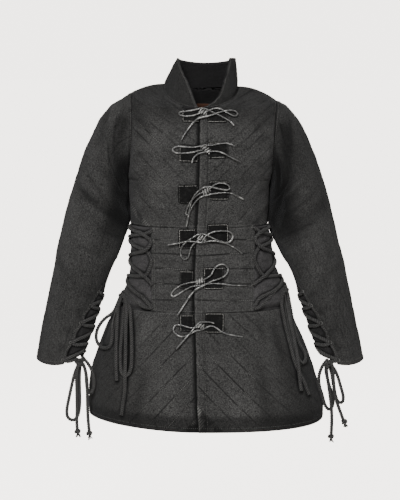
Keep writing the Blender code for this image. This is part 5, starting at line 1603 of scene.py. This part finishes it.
def sleeve_cloth(side):
    rows = row_steps(0, CUFF, 0.17, SLIT_TOP, 8.8, 9.1, 9.7, 10.3)
    edges = {row: opening_edges(row) for row in rows}

    def point_at(row, share):
        front, back = edges[row]
        degrees = back + (front + 360 - back) * share
        return sleeve_surface(side, degrees, row)[0]

    cloth = Cloth(point_at, rows, 49, side == RIGHT)
    front, back = (np.interp(cloth.rows, rows, [edges[row][i] for row in rows]) for i in (0, 1))
    cloth.degrees = back + (front + 360 - back) * cloth.shares
    return cloth


def arm_hole_places():
    """(degrees, row) of each hole of a forearm opening."""
    places = []
    for front, back in ARM_HOLES:
        places.append((by_column(SLIT_EDGES, front)[0] - ARM_FRONT_HOLE, front))
        if back is not None:
            places.append((ARM_BACK_HOLE, back))
    return places


def make_sleeves():
    for side, word in SIDES:
        cloth = sleeve_cloth(side)
        cloth.place = SLEEVE_LINES * cloth.shares * np.ones_like(cloth.z)
        cloth.spacing = cloth.across[:, -1:] / SLEEVE_LINES * np.ones_like(cloth.z)
        cloth.line_way = cloth.along
        cloth.mark(0.25, 131 + side)
        cloth.puff(0.3)
        turned = np.cos(np.radians(cloth.degrees - 180))
        inner, start, end, pale, at_top, top, below, at_cuff = SLEEVE_SHADE[side]
        # painted shade on the inner side towards the body, and darker in all, at the top and at the cuff
        cloth.dye_and_shade *= 1 - inner * smoothly(start, end, turned) * (1 - smoothly(5.0, 7.5, cloth.rows))
        cloth.dye_and_shade *= (pale - at_top * (1 - smoothly(top, below, cloth.rows))
                      - at_cuff * smoothly(7.0, 10.0, cloth.rows))
        cloth.dye_and_shade *= 1 + 0.10 * lumps(cloth.across, cloth.along, 80, 133)
        cloth.uneven(51 + side, 1.2, 0.5)
        cloth.creases(ARM_CREASES[side], ARM_CREASE_STRENGTH,
                      (cloth.rows * SLEEVE_ROW, (cloth.degrees % 360) * SLEEVE_DEGREE),
                      (SLEEVE_ROW, SLEEVE_DEGREE))
        # painted shade in the large folds
        cloth.shade -= 0.7 * fold_depth(side, cloth.points)
        inside = np.exp(-((cloth.degrees % 360 - 180) / 34) ** 2)
        needed = np.interp(cloth.rows, BULGE_ROWS, BULGE[side])
        cloth.points = cloth.points + cloth.normals * (inside * needed)[:, :, None]
        cloth.dye_and_shade *= 1 - 0.5 * np.exp(-(cloth.low / 5.0) ** 2)
        cloth.height += 1.4 * np.exp(-((cloth.low - 8) / 3.0) ** 2)
        opened = smoothly(8.15, 8.6, cloth.rows) * np.ones_like(cloth.z)
        cloth.sewn(cloth.low, cloth.first + 300 * opened, cloth.last + 300 * opened)
        cloth.hemmed(cloth.first, EDGE_STITCH, opened)
        cloth.hemmed(cloth.last, EDGE_STITCH, opened)
        cloth.hemmed(cloth.high)
        cloth.dented([over_sleeve(side, *place, 0) for place in arm_hole_places()], 2.6, 5.0)
        cloth_piece("arm_" + word, [cloth], "sleeve_" + word)
        sew(cloth, ("high", HEM_STITCH), ("low", 3.5))
        for edge in ("first", "last"):
            sew(cloth, (edge, EDGE_STITCH, 8.35), (edge, LACED_STITCH, 8.35))


def make_collar():
    def point_at(row, share):
        side = RIGHT if share < 0.5 else LEFT
        return collar_point(side, abs(2 * share - 1) * collar_edge(row, side), row)

    cloth = Cloth(point_at, np.linspace(0, 1, 12), 61, True)
    cloth.uneven(61, 1.0, 0.4)
    cloth.dye_and_shade *= 0.44
    cloth.marked *= 0
    for share, depth, width in ((0.16, -2.0, 8), (0.3, 1.4, 9), (0.71, -1.8, 9), (0.86, 1.5, 8)):
        place = cloth.across[:, -1:] * share
        cloth.height += depth * np.exp(-((cloth.across - place) / width) ** 2) * np.exp(-cloth.low / 40)
    cloth.sewn(cloth.low)
    cloth.hemmed(cloth.high, EDGE_STITCH)
    for away in (cloth.first, cloth.last):
        cloth.hemmed(away, EDGE_STITCH)
        cloth.height += 0.7 * np.exp(-((away - 3.0) / 2.0) ** 2)
    for away in (cloth.first, cloth.last, cloth.high):
        cloth.dye_and_shade *= 1 + 1.1 * np.exp(-((away - 2.4) / 1.7) ** 2)
    cloth_piece("stand_collar", [cloth], "collar", COLLAR_WALL)
    sew(cloth, ("high", EDGE_STITCH), ("low", 3.0), ("first", EDGE_STITCH), ("last", EDGE_STITCH))


def gather(cloth, strands, open_here, full, dip=4.2):
    """The cloth bulges out between the strands of a lacing and is drawn in under them, with painted shadow
    under the strands, painted shade on its folds and painted shade where it lies behind the panels.
    """
    away = cloth.from_strands(strands)
    folds = 1.3 * np.sin(cloth.along / 5.2 + 4 * lumps(cloth.across, cloth.along, 45, 73))
    folds *= 0.5 + 0.5 * lumps(cloth.across, cloth.along, 30, 75)
    rise = full + folds - dip * np.exp(-(away / 4.6) ** 2)
    cloth.height = np.minimum(cloth.height, 1.2) * (1 - open_here) + rise * open_here
    # painted shade on the folds, painted shadow under the strands and painted shade behind the panels
    cloth.shade += 1.4 * folds * open_here
    cloth.dye_and_shade *= (1 - 0.96 * np.exp(-(away / 7.4) ** 4)) * open_here + 0.8 * (1 - open_here)


def laid_flat(cloth):
    """A piece's width and length laid flat, in metres."""
    length, width = mean_lengths(cloth.points)
    return width * MM, length * MM


def underlay(name, cloth, stands_for, behind):
    piece = cloth_piece(name, [cloth], stands_for, LAP_WALL, "dark_underlay")
    laid_flat(cloth)


def make_underlays():
    for side, word in SIDES:
        def point_at(row, share):
            start = laced_edge_s(side, min(max(row, WAIST_LOW), WAIST_HIGH)) - 0.07
            w = start + (1.14 - start) * share
            front, s = w <= 1, min(w, 2 - w)
            return body(side, s, row, front) - body_normal(side, s, row, front) * (WALL + UNDERLAY_GAP)

        cloth = Cloth(point_at, np.linspace(WAIST_LOW - 0.14, WAIST_HIGH + 0.2, 15), 15, side == RIGHT)
        cloth.height += 0.5 * lumps(cloth.across, cloth.along, 40, 71)
        open_here = smoothly(11.5, 16.0, cloth.first) * smoothly(15.0, 19.5, cloth.last)
        open_here *= smoothly(8.0, 22.0, cloth.low) * smoothly(8.0, 13.0, cloth.high)
        round_here = np.exp(-((0.14 - cloth.last / SIDE_ARC) / 0.1) ** 2)
        gather(cloth, np.concatenate([dense(points, 3.0) for points in side_crossings(side)]), open_here,
               12.4 - 4.2 * round_here, 4.2 - 4.2 * round_here)
        underlay("side_panel_" + word, cloth, "side_underlay_" + word, "front_waist_" + word)

        def arm_point(row, share):
            low, high = by_column(SLIT_EDGES, row)
            point, normal = sleeve_surface(side, low - 13 + (high - low + 26) * share, row)
            return point - normal * (WALL + ARM_UNDERLAY_GAP)

        cloth = Cloth(arm_point, np.linspace(8.15, CUFF - 0.06, 15), 11, side == RIGHT)
        cloth.height += 0.5 * lumps(cloth.across, cloth.along, 30, 73)
        cloth.height -= 1.0 * np.exp(-((cloth.shares - 0.5) / 0.12) ** 2) * np.ones_like(cloth.z)
        open_here = smoothly(11.0, 15.5, cloth.first) * smoothly(11.0, 15.5, cloth.last)
        open_here *= smoothly(8.0, 16.0, cloth.low) * smoothly(-2.0, 6.0, cloth.high)
        gather(cloth, dense(arm_crossings(side), 3.0), open_here, 11.5)
        # painted shade: the cloth in the forearm opening is painted darker
        cloth.dye_and_shade *= 0.35
        underlay("arm_panel_" + word, cloth, "arm_underlay_" + word, "sleeve_" + word)


def make_label():
    left, right, high, low = LABEL

    def point_at(row, share):
        x = left + (right - left) * share
        side = LEFT if x > 0 else RIGHT
        edge = body_ends(side, row, False)[1]
        s = math.asin(x / edge[0]) / (math.pi / 2)
        return body(side, s, row, False) - body_normal(side, s, row, False) * (WALL + LABEL_LIFT)

    cloth = Cloth(point_at, np.linspace(low, high, 8), 8, True)
    cloth.height += 0.25 * lumps(cloth.across, cloth.along, 20, 81)
    piece = cloth_piece("plain_label", [cloth], "neck_label", LABEL_THICKNESS, "neck_label_cloth")
    laid_flat(cloth)


# ---- laces, cords and their knots ----
def profile_curve(name, outline):
    """A closed outline, in millimetres, that is swept along a lace or cord."""
    curve = bpy.data.curves.new(name, "CURVE")
    spline = curve.splines.new("POLY")
    spline.points.add(len(outline) - 1)
    for point, (x, y) in zip(spline.points, outline):
        point.co = (x * MM, y * MM, 0.0, 1.0)
    spline.use_cyclic_u = True
    return linked(name, curve)


def strap_outline(width, thickness):
    """A leather lace's section: a rounded rectangle."""
    places = []
    for k in range(10):
        c, s = math.cos(2 * math.pi * k / 10), math.sin(2 * math.pi * k / 10)
        places.append((math.copysign(abs(c) ** 0.9, c) * width / 2,
                       math.copysign(abs(s) ** 0.9, s) * thickness / 2))
    return places


def strand_outline(diameter, strands):
    """A twisted cord's section: as many lobes as it has strands."""
    places = []
    for k in range(4 * strands):
        turn = 2 * math.pi * k / (4 * strands)
        reach = diameter / 2 * (1.02 + 0.15 * math.cos(strands * turn))
        places.append((reach * math.cos(turn), reach * math.sin(turn)))
    return places


def dense(route, step):
    """Points at most a step apart on the smooth curve through a route."""
    route = np.asarray(route, float)
    places = []
    for i, length in enumerate(np.linalg.norm(np.diff(route, axis=0), axis=1)):
        count = max(1, int(math.ceil(length / step)))
        places += [i + k / count for k in range(count)]
    line = np.array([through(route, place) for place in places] + [route[-1]])
    for _ in range(16):
        line[1:-1] = line[1:-1] / 2 + (line[:-2] + line[2:]) / 4
    gone = distances(line)
    return spread(np.linspace(0, gone[-1], int(gone[-1] / step) + 2), gone, line)


def swept(name, lines, outline, pitch, finish, cyclic=False, wander=0.0):
    """A mesh of an outline swept along lines; pitch is the length of one turn of its twist."""
    profile = profile_curve(name + "_outline", outline)
    curve = bpy.data.curves.new(name, "CURVE")
    curve.dimensions = "3D"
    curve.twist_mode = "MINIMUM"
    curve.bevel_mode = "OBJECT"
    curve.bevel_object = profile
    curve.use_fill_caps = not cyclic
    for line in lines:
        spline = curve.splines.new("POLY")
        spline.points.add(len(line) - 1)
        for point, place, far in zip(spline.points, line, distances(line)):
            point.co = (*(np.asarray(place) * MM), 1.0)
            point.tilt = (2 * math.pi * far / pitch if pitch else 0.0) + wander * math.sin(far / 19)
        spline.use_cyclic_u = cyclic
    rough = linked(name + "_curve", curve)
    bpy.context.view_layer.update()
    graph = bpy.context.evaluated_depsgraph_get()
    mesh = bpy.data.meshes.new_from_object(rough.evaluated_get(graph))
    mesh.name = name
    for extra in (rough, profile):
        data = extra.data
        bpy.data.objects.remove(extra, do_unlink=True)
        bpy.data.curves.remove(data)
    bm = bmesh.new()
    bm.from_mesh(mesh)
    bmesh.ops.remove_doubles(bm, verts=bm.verts, dist=1e-6)
    bmesh.ops.recalc_face_normals(bm, faces=bm.faces)
    bm.to_mesh(mesh)
    bm.free()
    mesh.shade_smooth()
    mesh.materials.clear()
    mesh.materials.append(finish_of(finish))
    if finish == "twisted_cotton":
        # how far out each place of the cord is, for the painted shade in its grooves
        places, middles = np.array([v.co for v in mesh.vertices]), np.concatenate(lines) * MM
        reach = np.array([np.linalg.norm(middles - place, axis=1).min() for place in places])
        most = np.percentile(reach, 95)
        crest = smoothly(0.76, 0.94, reach / most)
        vertex_values(mesh, "dye_and_shade", np.stack([crest, crest], axis=1))
    obj = linked(name, mesh)
    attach(obj, "root")
    return obj


def leather_lace(name, route):
    width = sizes().lace * 1000
    line = dense(route, 1.8)
    obj = swept(name + "_leather", [line], strap_outline(width, width * 0.8), None, "lace_leather",
                wander=0.8)
    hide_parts(name)
    return obj


def cotton_cord(name, route):
    size = sizes().cord
    line = dense(route, 1.9)
    obj = swept(name + "_cotton", [line], strand_outline(size * 1000, sizes().strands), CORD_TWIST,
                "twisted_cotton")
    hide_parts(name)
    return obj


def ways_of(normal):
    """(normal, right, up) of a place on the jacket, each of length 1."""
    normal = unit(np.asarray(normal, float))
    right = unit(np.cross(np.array([0.0, 0.0, 1.0]), normal))
    return normal, right, np.cross(normal, right)


def tied(middle, normal, turn, reach, depth):
    """The line of a drawn-up overhand knot, lying square to the normal."""
    normal, right, up = ways_of(normal)
    line = []
    for t in np.linspace(0, 2 * math.pi, 49)[:-1]:
        a, b = math.sin(t) + 2 * math.sin(2 * t), math.cos(t) - 2 * math.cos(2 * t)
        c, s = math.cos(turn), math.sin(turn)
        flat = right * (a * c - b * s) + up * (a * s + b * c)
        line.append(middle + flat * reach / 3 - normal * math.sin(3 * t) * depth)
    return np.array(line)


def wrapped(middle, normal, turn, reach, pitch, turns):
    """The line of a lace wound round a tie's strands, its ends tucked in behind."""
    normal, right, up = ways_of(normal)
    way = right * math.cos(turn) + up * math.sin(turn)
    across = np.cross(normal, way)
    line = []
    for t in np.linspace(-0.5, turns + 0.5, int(16 * (turns + 1)) + 1):
        angle = 2 * math.pi * t
        round_it = across * math.cos(angle) * reach - normal * math.sin(angle) * reach * 0.72
        line.append(middle + way * pitch * (t - turns / 2) + round_it * (0.8 if t < 0 or t > turns else 1))
    return np.array(line)


def make_ties():
    width = sizes().lace * 1000
    outline = strap_outline(width * 0.66, width * 0.62)
    for number, (x, z, lower, upper) in enumerate(TIES, 1):
        for word, route, lift in (("lower", lower, LOWER_LIFT), ("upper", upper, UPPER_LIFT)):
            points = [over_front(x + dx, z + dz, lift) for dx, dz in route]
            if math.hypot(*route[0]) < 8:
                points[0] = over_front(x + route[0][0], z + route[0][1], KNOT_LIFT)
            leather_lace(f"tie_{number}_lace_{word}", points)
        middle = over_front(x, z, KNOT_LIFT + 0.5)
        normal = body_normal(LEFT, *find_front(x, z, LEFT))
        lean, turns = KNOT_WRAPS[number - 1]
        line = wrapped(middle, normal, math.radians(lean), 5.2, width * 1.5, turns)
        obj = swept(f"tie_{number}_wraps", [line], outline, None, "knot_leather")
        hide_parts(f"tie_{number}_knot")


def bow_knot(name, middle, normal, turn):
    size = sizes().cord * 1000
    line = tied(np.asarray(middle, float), normal, turn, 8.0, 3.0)
    obj = swept(name, [line], strand_outline(size * 0.9, sizes().strands), CORD_TWIST,
                "twisted_cotton", cyclic=True)
    return obj


def frayed_end(name, tip, way, seed):
    """The knot near a cord's end, and the tuft of yarns below it."""
    chance = np.random.default_rng(seed)
    way = unit(np.asarray(way, float))
    side = unit(np.cross(way, np.array([0.0, 1.0, 0.0])))
    front = np.cross(side, way)
    middle = tip - way * 3.5
    wrap = tied(middle, way, chance.uniform(0, 3), 5.6, 2.8)
    knot_piece = swept(name + "_knot", [wrap], strand_outline(4.8, 3), None, "twisted_cotton", cyclic=True)
    yarns = []
    for _ in range(16):
        turn, splay = chance.uniform(0, 2 * math.pi), chance.uniform(0.1, 0.55)
        out = side * math.cos(turn) + front * math.sin(turn)
        length = chance.uniform(8.0, 13.0)
        yarns.append(np.array([tip - way * 2 + out * 1.4 + way * length * f + out * length * splay * f * f
                               for f in np.linspace(0, 1, 6)]))
    tuft = swept(name + "_tuft", yarns, strand_outline(1.8, 3), None, "twisted_cotton")
    return [knot_piece, tuft]


def make_side_laces():
    for side, word in SIDES:
        first, second = side_crossings(side)
        cotton_cord("side_lace_" + word, first + hung(SIDE_LOOP[side]))
        cotton_cord("side_lace_crossed_" + word, second)
        cotton_cord("side_lace_ends_" + word, hung(SIDE_ENDS[side]))
    cotton_cord("side_lace_second_right", hung(SIDE_SECOND_LOOP))
    for side, word, x, z in ((RIGHT, "right", -177, -478), (LEFT, "left", 189, -463)):
        normal = body_normal(side, *find_front(x, z, side))
        bow_knot("side_bow_" + word, over_front(x, z, 6.2), normal, 0.4 + 0.5 * side)


def make_arm_laces():
    for side, word in SIDES:
        route = arm_crossings(side) + [over_sleeve(side, 113, 10.91, CORD_LIFT),
                                       over_sleeve(side, 124, 10.93, CORD_LIFT)]
        if side == RIGHT:
            route.append(over_sleeve(side, 143, 10.93, CORD_LIFT))
        route += [np.array(place, float) for place in ARM_LOOP[side]]
        cotton_cord("arm_lace_" + word, route)
        route = [np.array(place, float) for place in ARM_SECOND_LOOP[side]]
        if side == RIGHT:
            route = [over_sleeve(side, 178, 10.8, CORD_LIFT)] + route
        cotton_cord("arm_lace_second_" + word, route)
        route = np.array(ARM_ENDS[side], float)
        others = frayed_end(f"arm_lace_start_{word}", route[0], route[0] - route[1], 7 + side)
        others += frayed_end(f"arm_lace_end_{word}", route[-1], route[-1] - route[-2], 17 + side)
        cotton_cord("arm_lace_ends_" + word, route)
    bow_knot("arm_bow_right", (-278, -74, -622), (-0.2, -1, 0.1), 0.3)
    bow_knot("arm_bow_left", (289.5, -84, -623), (0.2, -1, 0.1), 1.5)


# ---- leather patches ----
# Sides of each patch whose thread has stayed pale: t top, b bottom, o outer, i next to the front edge.
PALE_SIDES = (("ob", "b"), ("ob", "tb"), ("t", "tb"), ("to", "to"), ("t", "tbi"), ("to", "tob"))
PATCH_STITCH = 1.6    # in from a patch's cut edge


def make_patches():
    pale, dark = [], []
    for number, row in enumerate(PATCHES, 1):
        for k, (side, word) in enumerate(SIDES):
            x, z, width, height = row[4 * k:4 * k + 4]
            lean = 0.02 * math.sin(number * 2.3 + 4 * k)

            def point_at(v, share):
                a, b = 2 * share - 1, 2 * v - 1
                corner = 1 - 0.075 * abs(a) ** 7 * abs(b) ** 7
                px, pz = a * corner * width / 2, b * corner * height / 2
                px, pz = x + px - lean * pz, z + pz + lean * px
                if side == RIGHT:
                    px = min(px, edge_x(pz) - 1.5)
                point, normal = front_place(px, pz, side)
                return point + normal * (PATCH_LIFT + PATCH_THICKNESS)

            cloth = Cloth(point_at, np.linspace(0, 1, 9), 9, False)
            away = np.minimum(np.minimum(cloth.low, cloth.high), np.minimum(cloth.first, cloth.last))
            cloth.height += 0.45 * lumps(cloth.across, cloth.along, 22, 90 + number + 10 * k)
            cloth.height += 0.2 * lumps(cloth.across, cloth.along, 7, 95 + number + 10 * k)
            cloth.height = np.clip(cloth.height, -0.35, 0.6)
            cloth.height += 0.45 * np.exp(-(away / 1.6) ** 2) - 0.5 * np.exp(-((away - 1.9) / 1.0) ** 2)
            cloth.edge = away
            cloth_piece(f"leather_{number}_{word}", [cloth], f"patch_{number}_{word}", PATCH_THICKNESS,
                        "patch_leather")
            inner, outer = ("last", "first") if side == RIGHT else ("first", "last")
            for letter, edge in (("t", "high"), ("b", "low"), ("o", outer), ("i", inner)):
                line = line_in(cloth, edge, PATCH_STITCH)
                (pale if letter in PALE_SIDES[number - 1][k] else dark).append(line)
    stitching("patch_stitches_pale", pale, "waxed_thread", 3.6, 3.3, 1.25)
    stitching("patch_stitches_dark", dark, "sewing_thread", 3.6, 3.0, 0.9)


# ---- stitches and eyelets ----
def repeated(name, shape, frames, finish):
    """One piece with a copy of a small shape at each frame (place, along, across, out)."""
    places = np.array([vertex.co[:] for vertex in shape.vertices])
    faces = [list(face.vertices) for face in shape.polygons]
    frames = np.asarray(frames)
    points = frames[:, None, 0] + np.einsum("vk,fkc->fvc", places, frames[:, 1:])
    count = len(places)
    all_faces = [[i + count * k for i in face] for k in range(len(frames)) for face in faces]
    mesh = bpy.data.meshes.new(name)
    mesh.from_pydata((points.reshape(-1, 3) * MM).tolist(), [], all_faces)
    mesh.update()
    mesh.shade_smooth()
    mesh.materials.append(finish_of(finish))
    obj = linked(name, mesh)
    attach(obj, "root")
    return obj


def small_shape(build):
    bm = bmesh.new()
    build(bm)
    mesh = bpy.data.meshes.new("small_shape")
    bmesh.ops.recalc_face_normals(bm, faces=bm.faces)
    bm.to_mesh(mesh)
    bm.free()
    return mesh


def stitching(name, lines, finish, pitch, length, width, lift=0.15):
    """Stitches at a pitch along lines of (points, normals), each a small rounded bit of thread."""
    def build(bm):
        bmesh.ops.create_icosphere(bm, subdivisions=1, radius=1.0)
        bmesh.ops.scale(bm, vec=(length / 2, width / 2, width * 0.42), verts=bm.verts)

    shape = small_shape(build)
    frames = []
    chance = np.random.default_rng(len(lines))
    for points, normals in lines:
        gone = distances(points)
        stops = np.arange(pitch / 2, gone[-1] - pitch / 3, pitch)
        ways = spread(stops + 0.7, gone, points) - spread(stops - 0.7, gone, points)
        for p, n, way in zip(spread(stops, gone, points), spread(stops, gone, normals), ways):
            if np.linalg.norm(way) < 0.2 or chance.uniform() < 0.02:
                continue
            way, n = unit(way), unit(n)
            way = unit(way - n * np.dot(way, n) + np.cross(n, way) * chance.uniform(-0.14, 0.14))
            frames.append((p + n * lift, way, np.cross(n, way), n))
    piece = repeated(name, shape, frames, finish)
    bpy.data.meshes.remove(shape)
    return piece


def eyelet_frames():
    """(place, along, across, out) of the ring round each lacing hole."""
    places = []
    for side, _ in SIDES:
        for hole in front_holes(side) + back_holes(side):
            out = unit(np.array([hole[0] * 0.9, hole[1] + math.copysign(0.001, hole[1]), 0.0]))
            places.append((hole, out))
        places += [sleeve_surface(side, *place) for place in arm_hole_places()]
    frames = []
    for point, out in places:
        along = unit(np.cross(out, np.array([0.0, 0.0, 1.0])))
        frames.append((point + out * 0.6, along, np.cross(out, along), out))
    return frames


def make_stitching():
    stitching("seam_stitches", SEWN_LINES, "sewing_thread", 4.4, 3.1, 0.85)

    def ring(bm):
        made = bmesh.ops.create_circle(bm, segments=6, radius=0.85)
        bmesh.ops.rotate(bm, verts=made["verts"], cent=(0, 0, 0), matrix=Matrix.Rotation(math.pi / 2, 3, "X"))
        bmesh.ops.translate(bm, verts=made["verts"], vec=(3.1, 0, 0))
        bmesh.ops.spin(bm, geom=bm.edges[:], cent=(0, 0, 0), axis=(0, 0, 1), angle=2 * math.pi, steps=14,
                       use_merge=True)

    shape = small_shape(ring)
    repeated("lacing_eyelets", shape, eyelet_frames(), "sewing_thread")
    bpy.data.meshes.remove(shape)


# ---- studio ----
def area_light(name, place, aim, size, power, colour=(1, 1, 1)):
    light = bpy.data.lights.new(name, "AREA")
    light.shape = "DISK"
    light.size = size
    light.energy = power
    light.color = colour
    obj = linked(name, light)
    obj.location = place
    obj.rotation_euler = (Vector(aim) - Vector(place)).to_track_quat("-Z", "Y").to_euler()


def make_stage():
    camera = bpy.data.cameras.new("camera")
    camera.lens = 93.913
    camera.sensor_width = 36.0
    obj = linked("camera", camera)
    obj.location = (-0.0023, -3.0, 0.03)
    obj.rotation_euler = (math.radians(90 - 7.6528), 0, 0)
    bpy.context.scene.camera = obj

    bm = bmesh.new()
    bmesh.ops.create_grid(bm, x_segments=4, y_segments=4, size=400.0)
    bmesh.ops.translate(bm, verts=bm.verts, vec=(0, 0, -1.45))
    mesh = bpy.data.meshes.new("studio_floor")
    bm.to_mesh(mesh)
    bm.free()
    mesh.materials.append(floor_material())
    linked("studio_floor", mesh)

    area_light("key", (-0.65, -3.0, 1.6), (0, 0, -0.35), 0.9, 168)
    area_light("fill", (1.3, -3.0, 0.1), (0, 0, -0.4), 1.6, 36)
    area_light("back", (0.4, 2.9, 1.2), (0, 0, -0.35), 1.4, 50)
    world = bpy.data.worlds.new("studio")
    bpy.context.scene.world = world
    world.use_nodes = True
    tree = world.node_tree
    background = tree.nodes["Background"]
    background.inputs["Color"].default_value = STUDIO_WHITE
    seen = node(tree, "LightPath").outputs["Is Camera Ray"]
    tree.links.new(math_node(tree, "MULTIPLY_ADD", seen, 4.3, 0.22), background.inputs["Strength"])


# ---- operators ----
def making(make):
    """An operator's execute, which makes its pieces; an error in it stops the script."""
    def execute(self, context):
        make()
        return {"FINISHED"}

    return execute


class JACKET_OT_stage(bpy.types.Operator):
    """Make the camera, the pale floor and the soft lights"""
    bl_idname = "jacket.stage"
    bl_label = "Studio"
    execute = making(make_stage)


class JACKET_OT_ties(bpy.types.Operator):
    """Make the six leather ties with their knots"""
    bl_idname = "jacket.ties"
    bl_label = "Leather ties"
    execute = making(make_ties)


class JACKET_OT_side_laces(bpy.types.Operator):
    """Make the cotton lacing at the sides of the waist"""
    bl_idname = "jacket.side_laces"
    bl_label = "Side lacing"
    execute = making(make_side_laces)


class JACKET_OT_arm_laces(bpy.types.Operator):
    """Make the cotton lacing of the forearms"""
    bl_idname = "jacket.arm_laces"
    bl_label = "Forearm lacing"
    execute = making(make_arm_laces)


class JACKET_OT_fronts(bpy.types.Operator):
    """Make the chest, waist and skirt panels of both fronts"""
    bl_idname = "jacket.fronts"
    bl_label = "Fronts"
    execute = making(make_fronts)


class JACKET_OT_back(bpy.types.Operator):
    """Make the three panels of the back"""
    bl_idname = "jacket.back"
    bl_label = "Back"
    execute = making(make_back)


class JACKET_OT_sleeves(bpy.types.Operator):
    """Make both sleeves with their laced forearm openings"""
    bl_idname = "jacket.sleeves"
    bl_label = "Sleeves"
    execute = making(make_sleeves)


class JACKET_OT_collar(bpy.types.Operator):
    """Make the stand collar"""
    bl_idname = "jacket.collar"
    bl_label = "Collar"
    execute = making(make_collar)


class JACKET_OT_underlays(bpy.types.Operator):
    """Make the cloth behind the lacing of the sides and forearms"""
    bl_idname = "jacket.underlays"
    bl_label = "Underlays"
    execute = making(make_underlays)


class JACKET_OT_label(bpy.types.Operator):
    """Make the plain label in the back of the neck"""
    bl_idname = "jacket.label"
    bl_label = "Plain label"
    execute = making(make_label)


class JACKET_OT_patches(bpy.types.Operator):
    """Make the twelve leather patches and their stitches"""
    bl_idname = "jacket.patches"
    bl_label = "Leather patches"
    execute = making(make_patches)


class JACKET_OT_stitching(bpy.types.Operator):
    """Make the sewn lines along edges and hems, and the lacing eyelets"""
    bl_idname = "jacket.stitching"
    bl_label = "Stitching and eyelets"
    execute = making(make_stitching)


OPERATORS = (JACKET_OT_stage, JACKET_OT_ties, JACKET_OT_side_laces, JACKET_OT_arm_laces, JACKET_OT_fronts,
             JACKET_OT_back, JACKET_OT_sleeves, JACKET_OT_collar, JACKET_OT_underlays, JACKET_OT_label,
             JACKET_OT_patches, JACKET_OT_stitching)


class JACKET_PT_panel(bpy.types.Panel):
    """The jacket's sizes, colours and pieces"""
    bl_idname = "JACKET_PT_panel"
    bl_label = "Quilted arming jacket"
    bl_space_type = "VIEW_3D"
    bl_region_type = "UI"
    bl_category = "Jacket"

    def draw(self, context):
        for settings in (context.scene.jacket_sizes, context.scene.jacket_colours):
            column = self.layout.column(align=True)
            for name in settings.__annotations__:
                column.prop(settings, name)
        column = self.layout.column(align=True)
        for made in OPERATORS:
            column.operator(made.bl_idname, text=made.bl_label)


CLASSES = (JacketSizes, JacketColours, *OPERATORS, JACKET_PT_panel)


def register():
    for made in CLASSES:
        bpy.utils.register_class(made)
    bpy.types.Scene.jacket_sizes = bpy.props.PointerProperty(type=JacketSizes)
    bpy.types.Scene.jacket_colours = bpy.props.PointerProperty(type=JacketColours)


def unregister():
    del bpy.types.Scene.jacket_colours
    del bpy.types.Scene.jacket_sizes
    for made in reversed(CLASSES):
        bpy.utils.unregister_class(made)


def main():
    register()
    bpy.ops.jacket.stage()
    bpy.ops.jacket.ties()
    bpy.ops.jacket.side_laces()
    bpy.ops.jacket.arm_laces()
    bpy.ops.jacket.fronts()
    bpy.ops.jacket.back()
    bpy.ops.jacket.sleeves()
    bpy.ops.jacket.collar()
    bpy.ops.jacket.underlays()
    bpy.ops.jacket.label()
    bpy.ops.jacket.patches()
    bpy.ops.jacket.stitching()


if __name__ == "__main__":
    main()
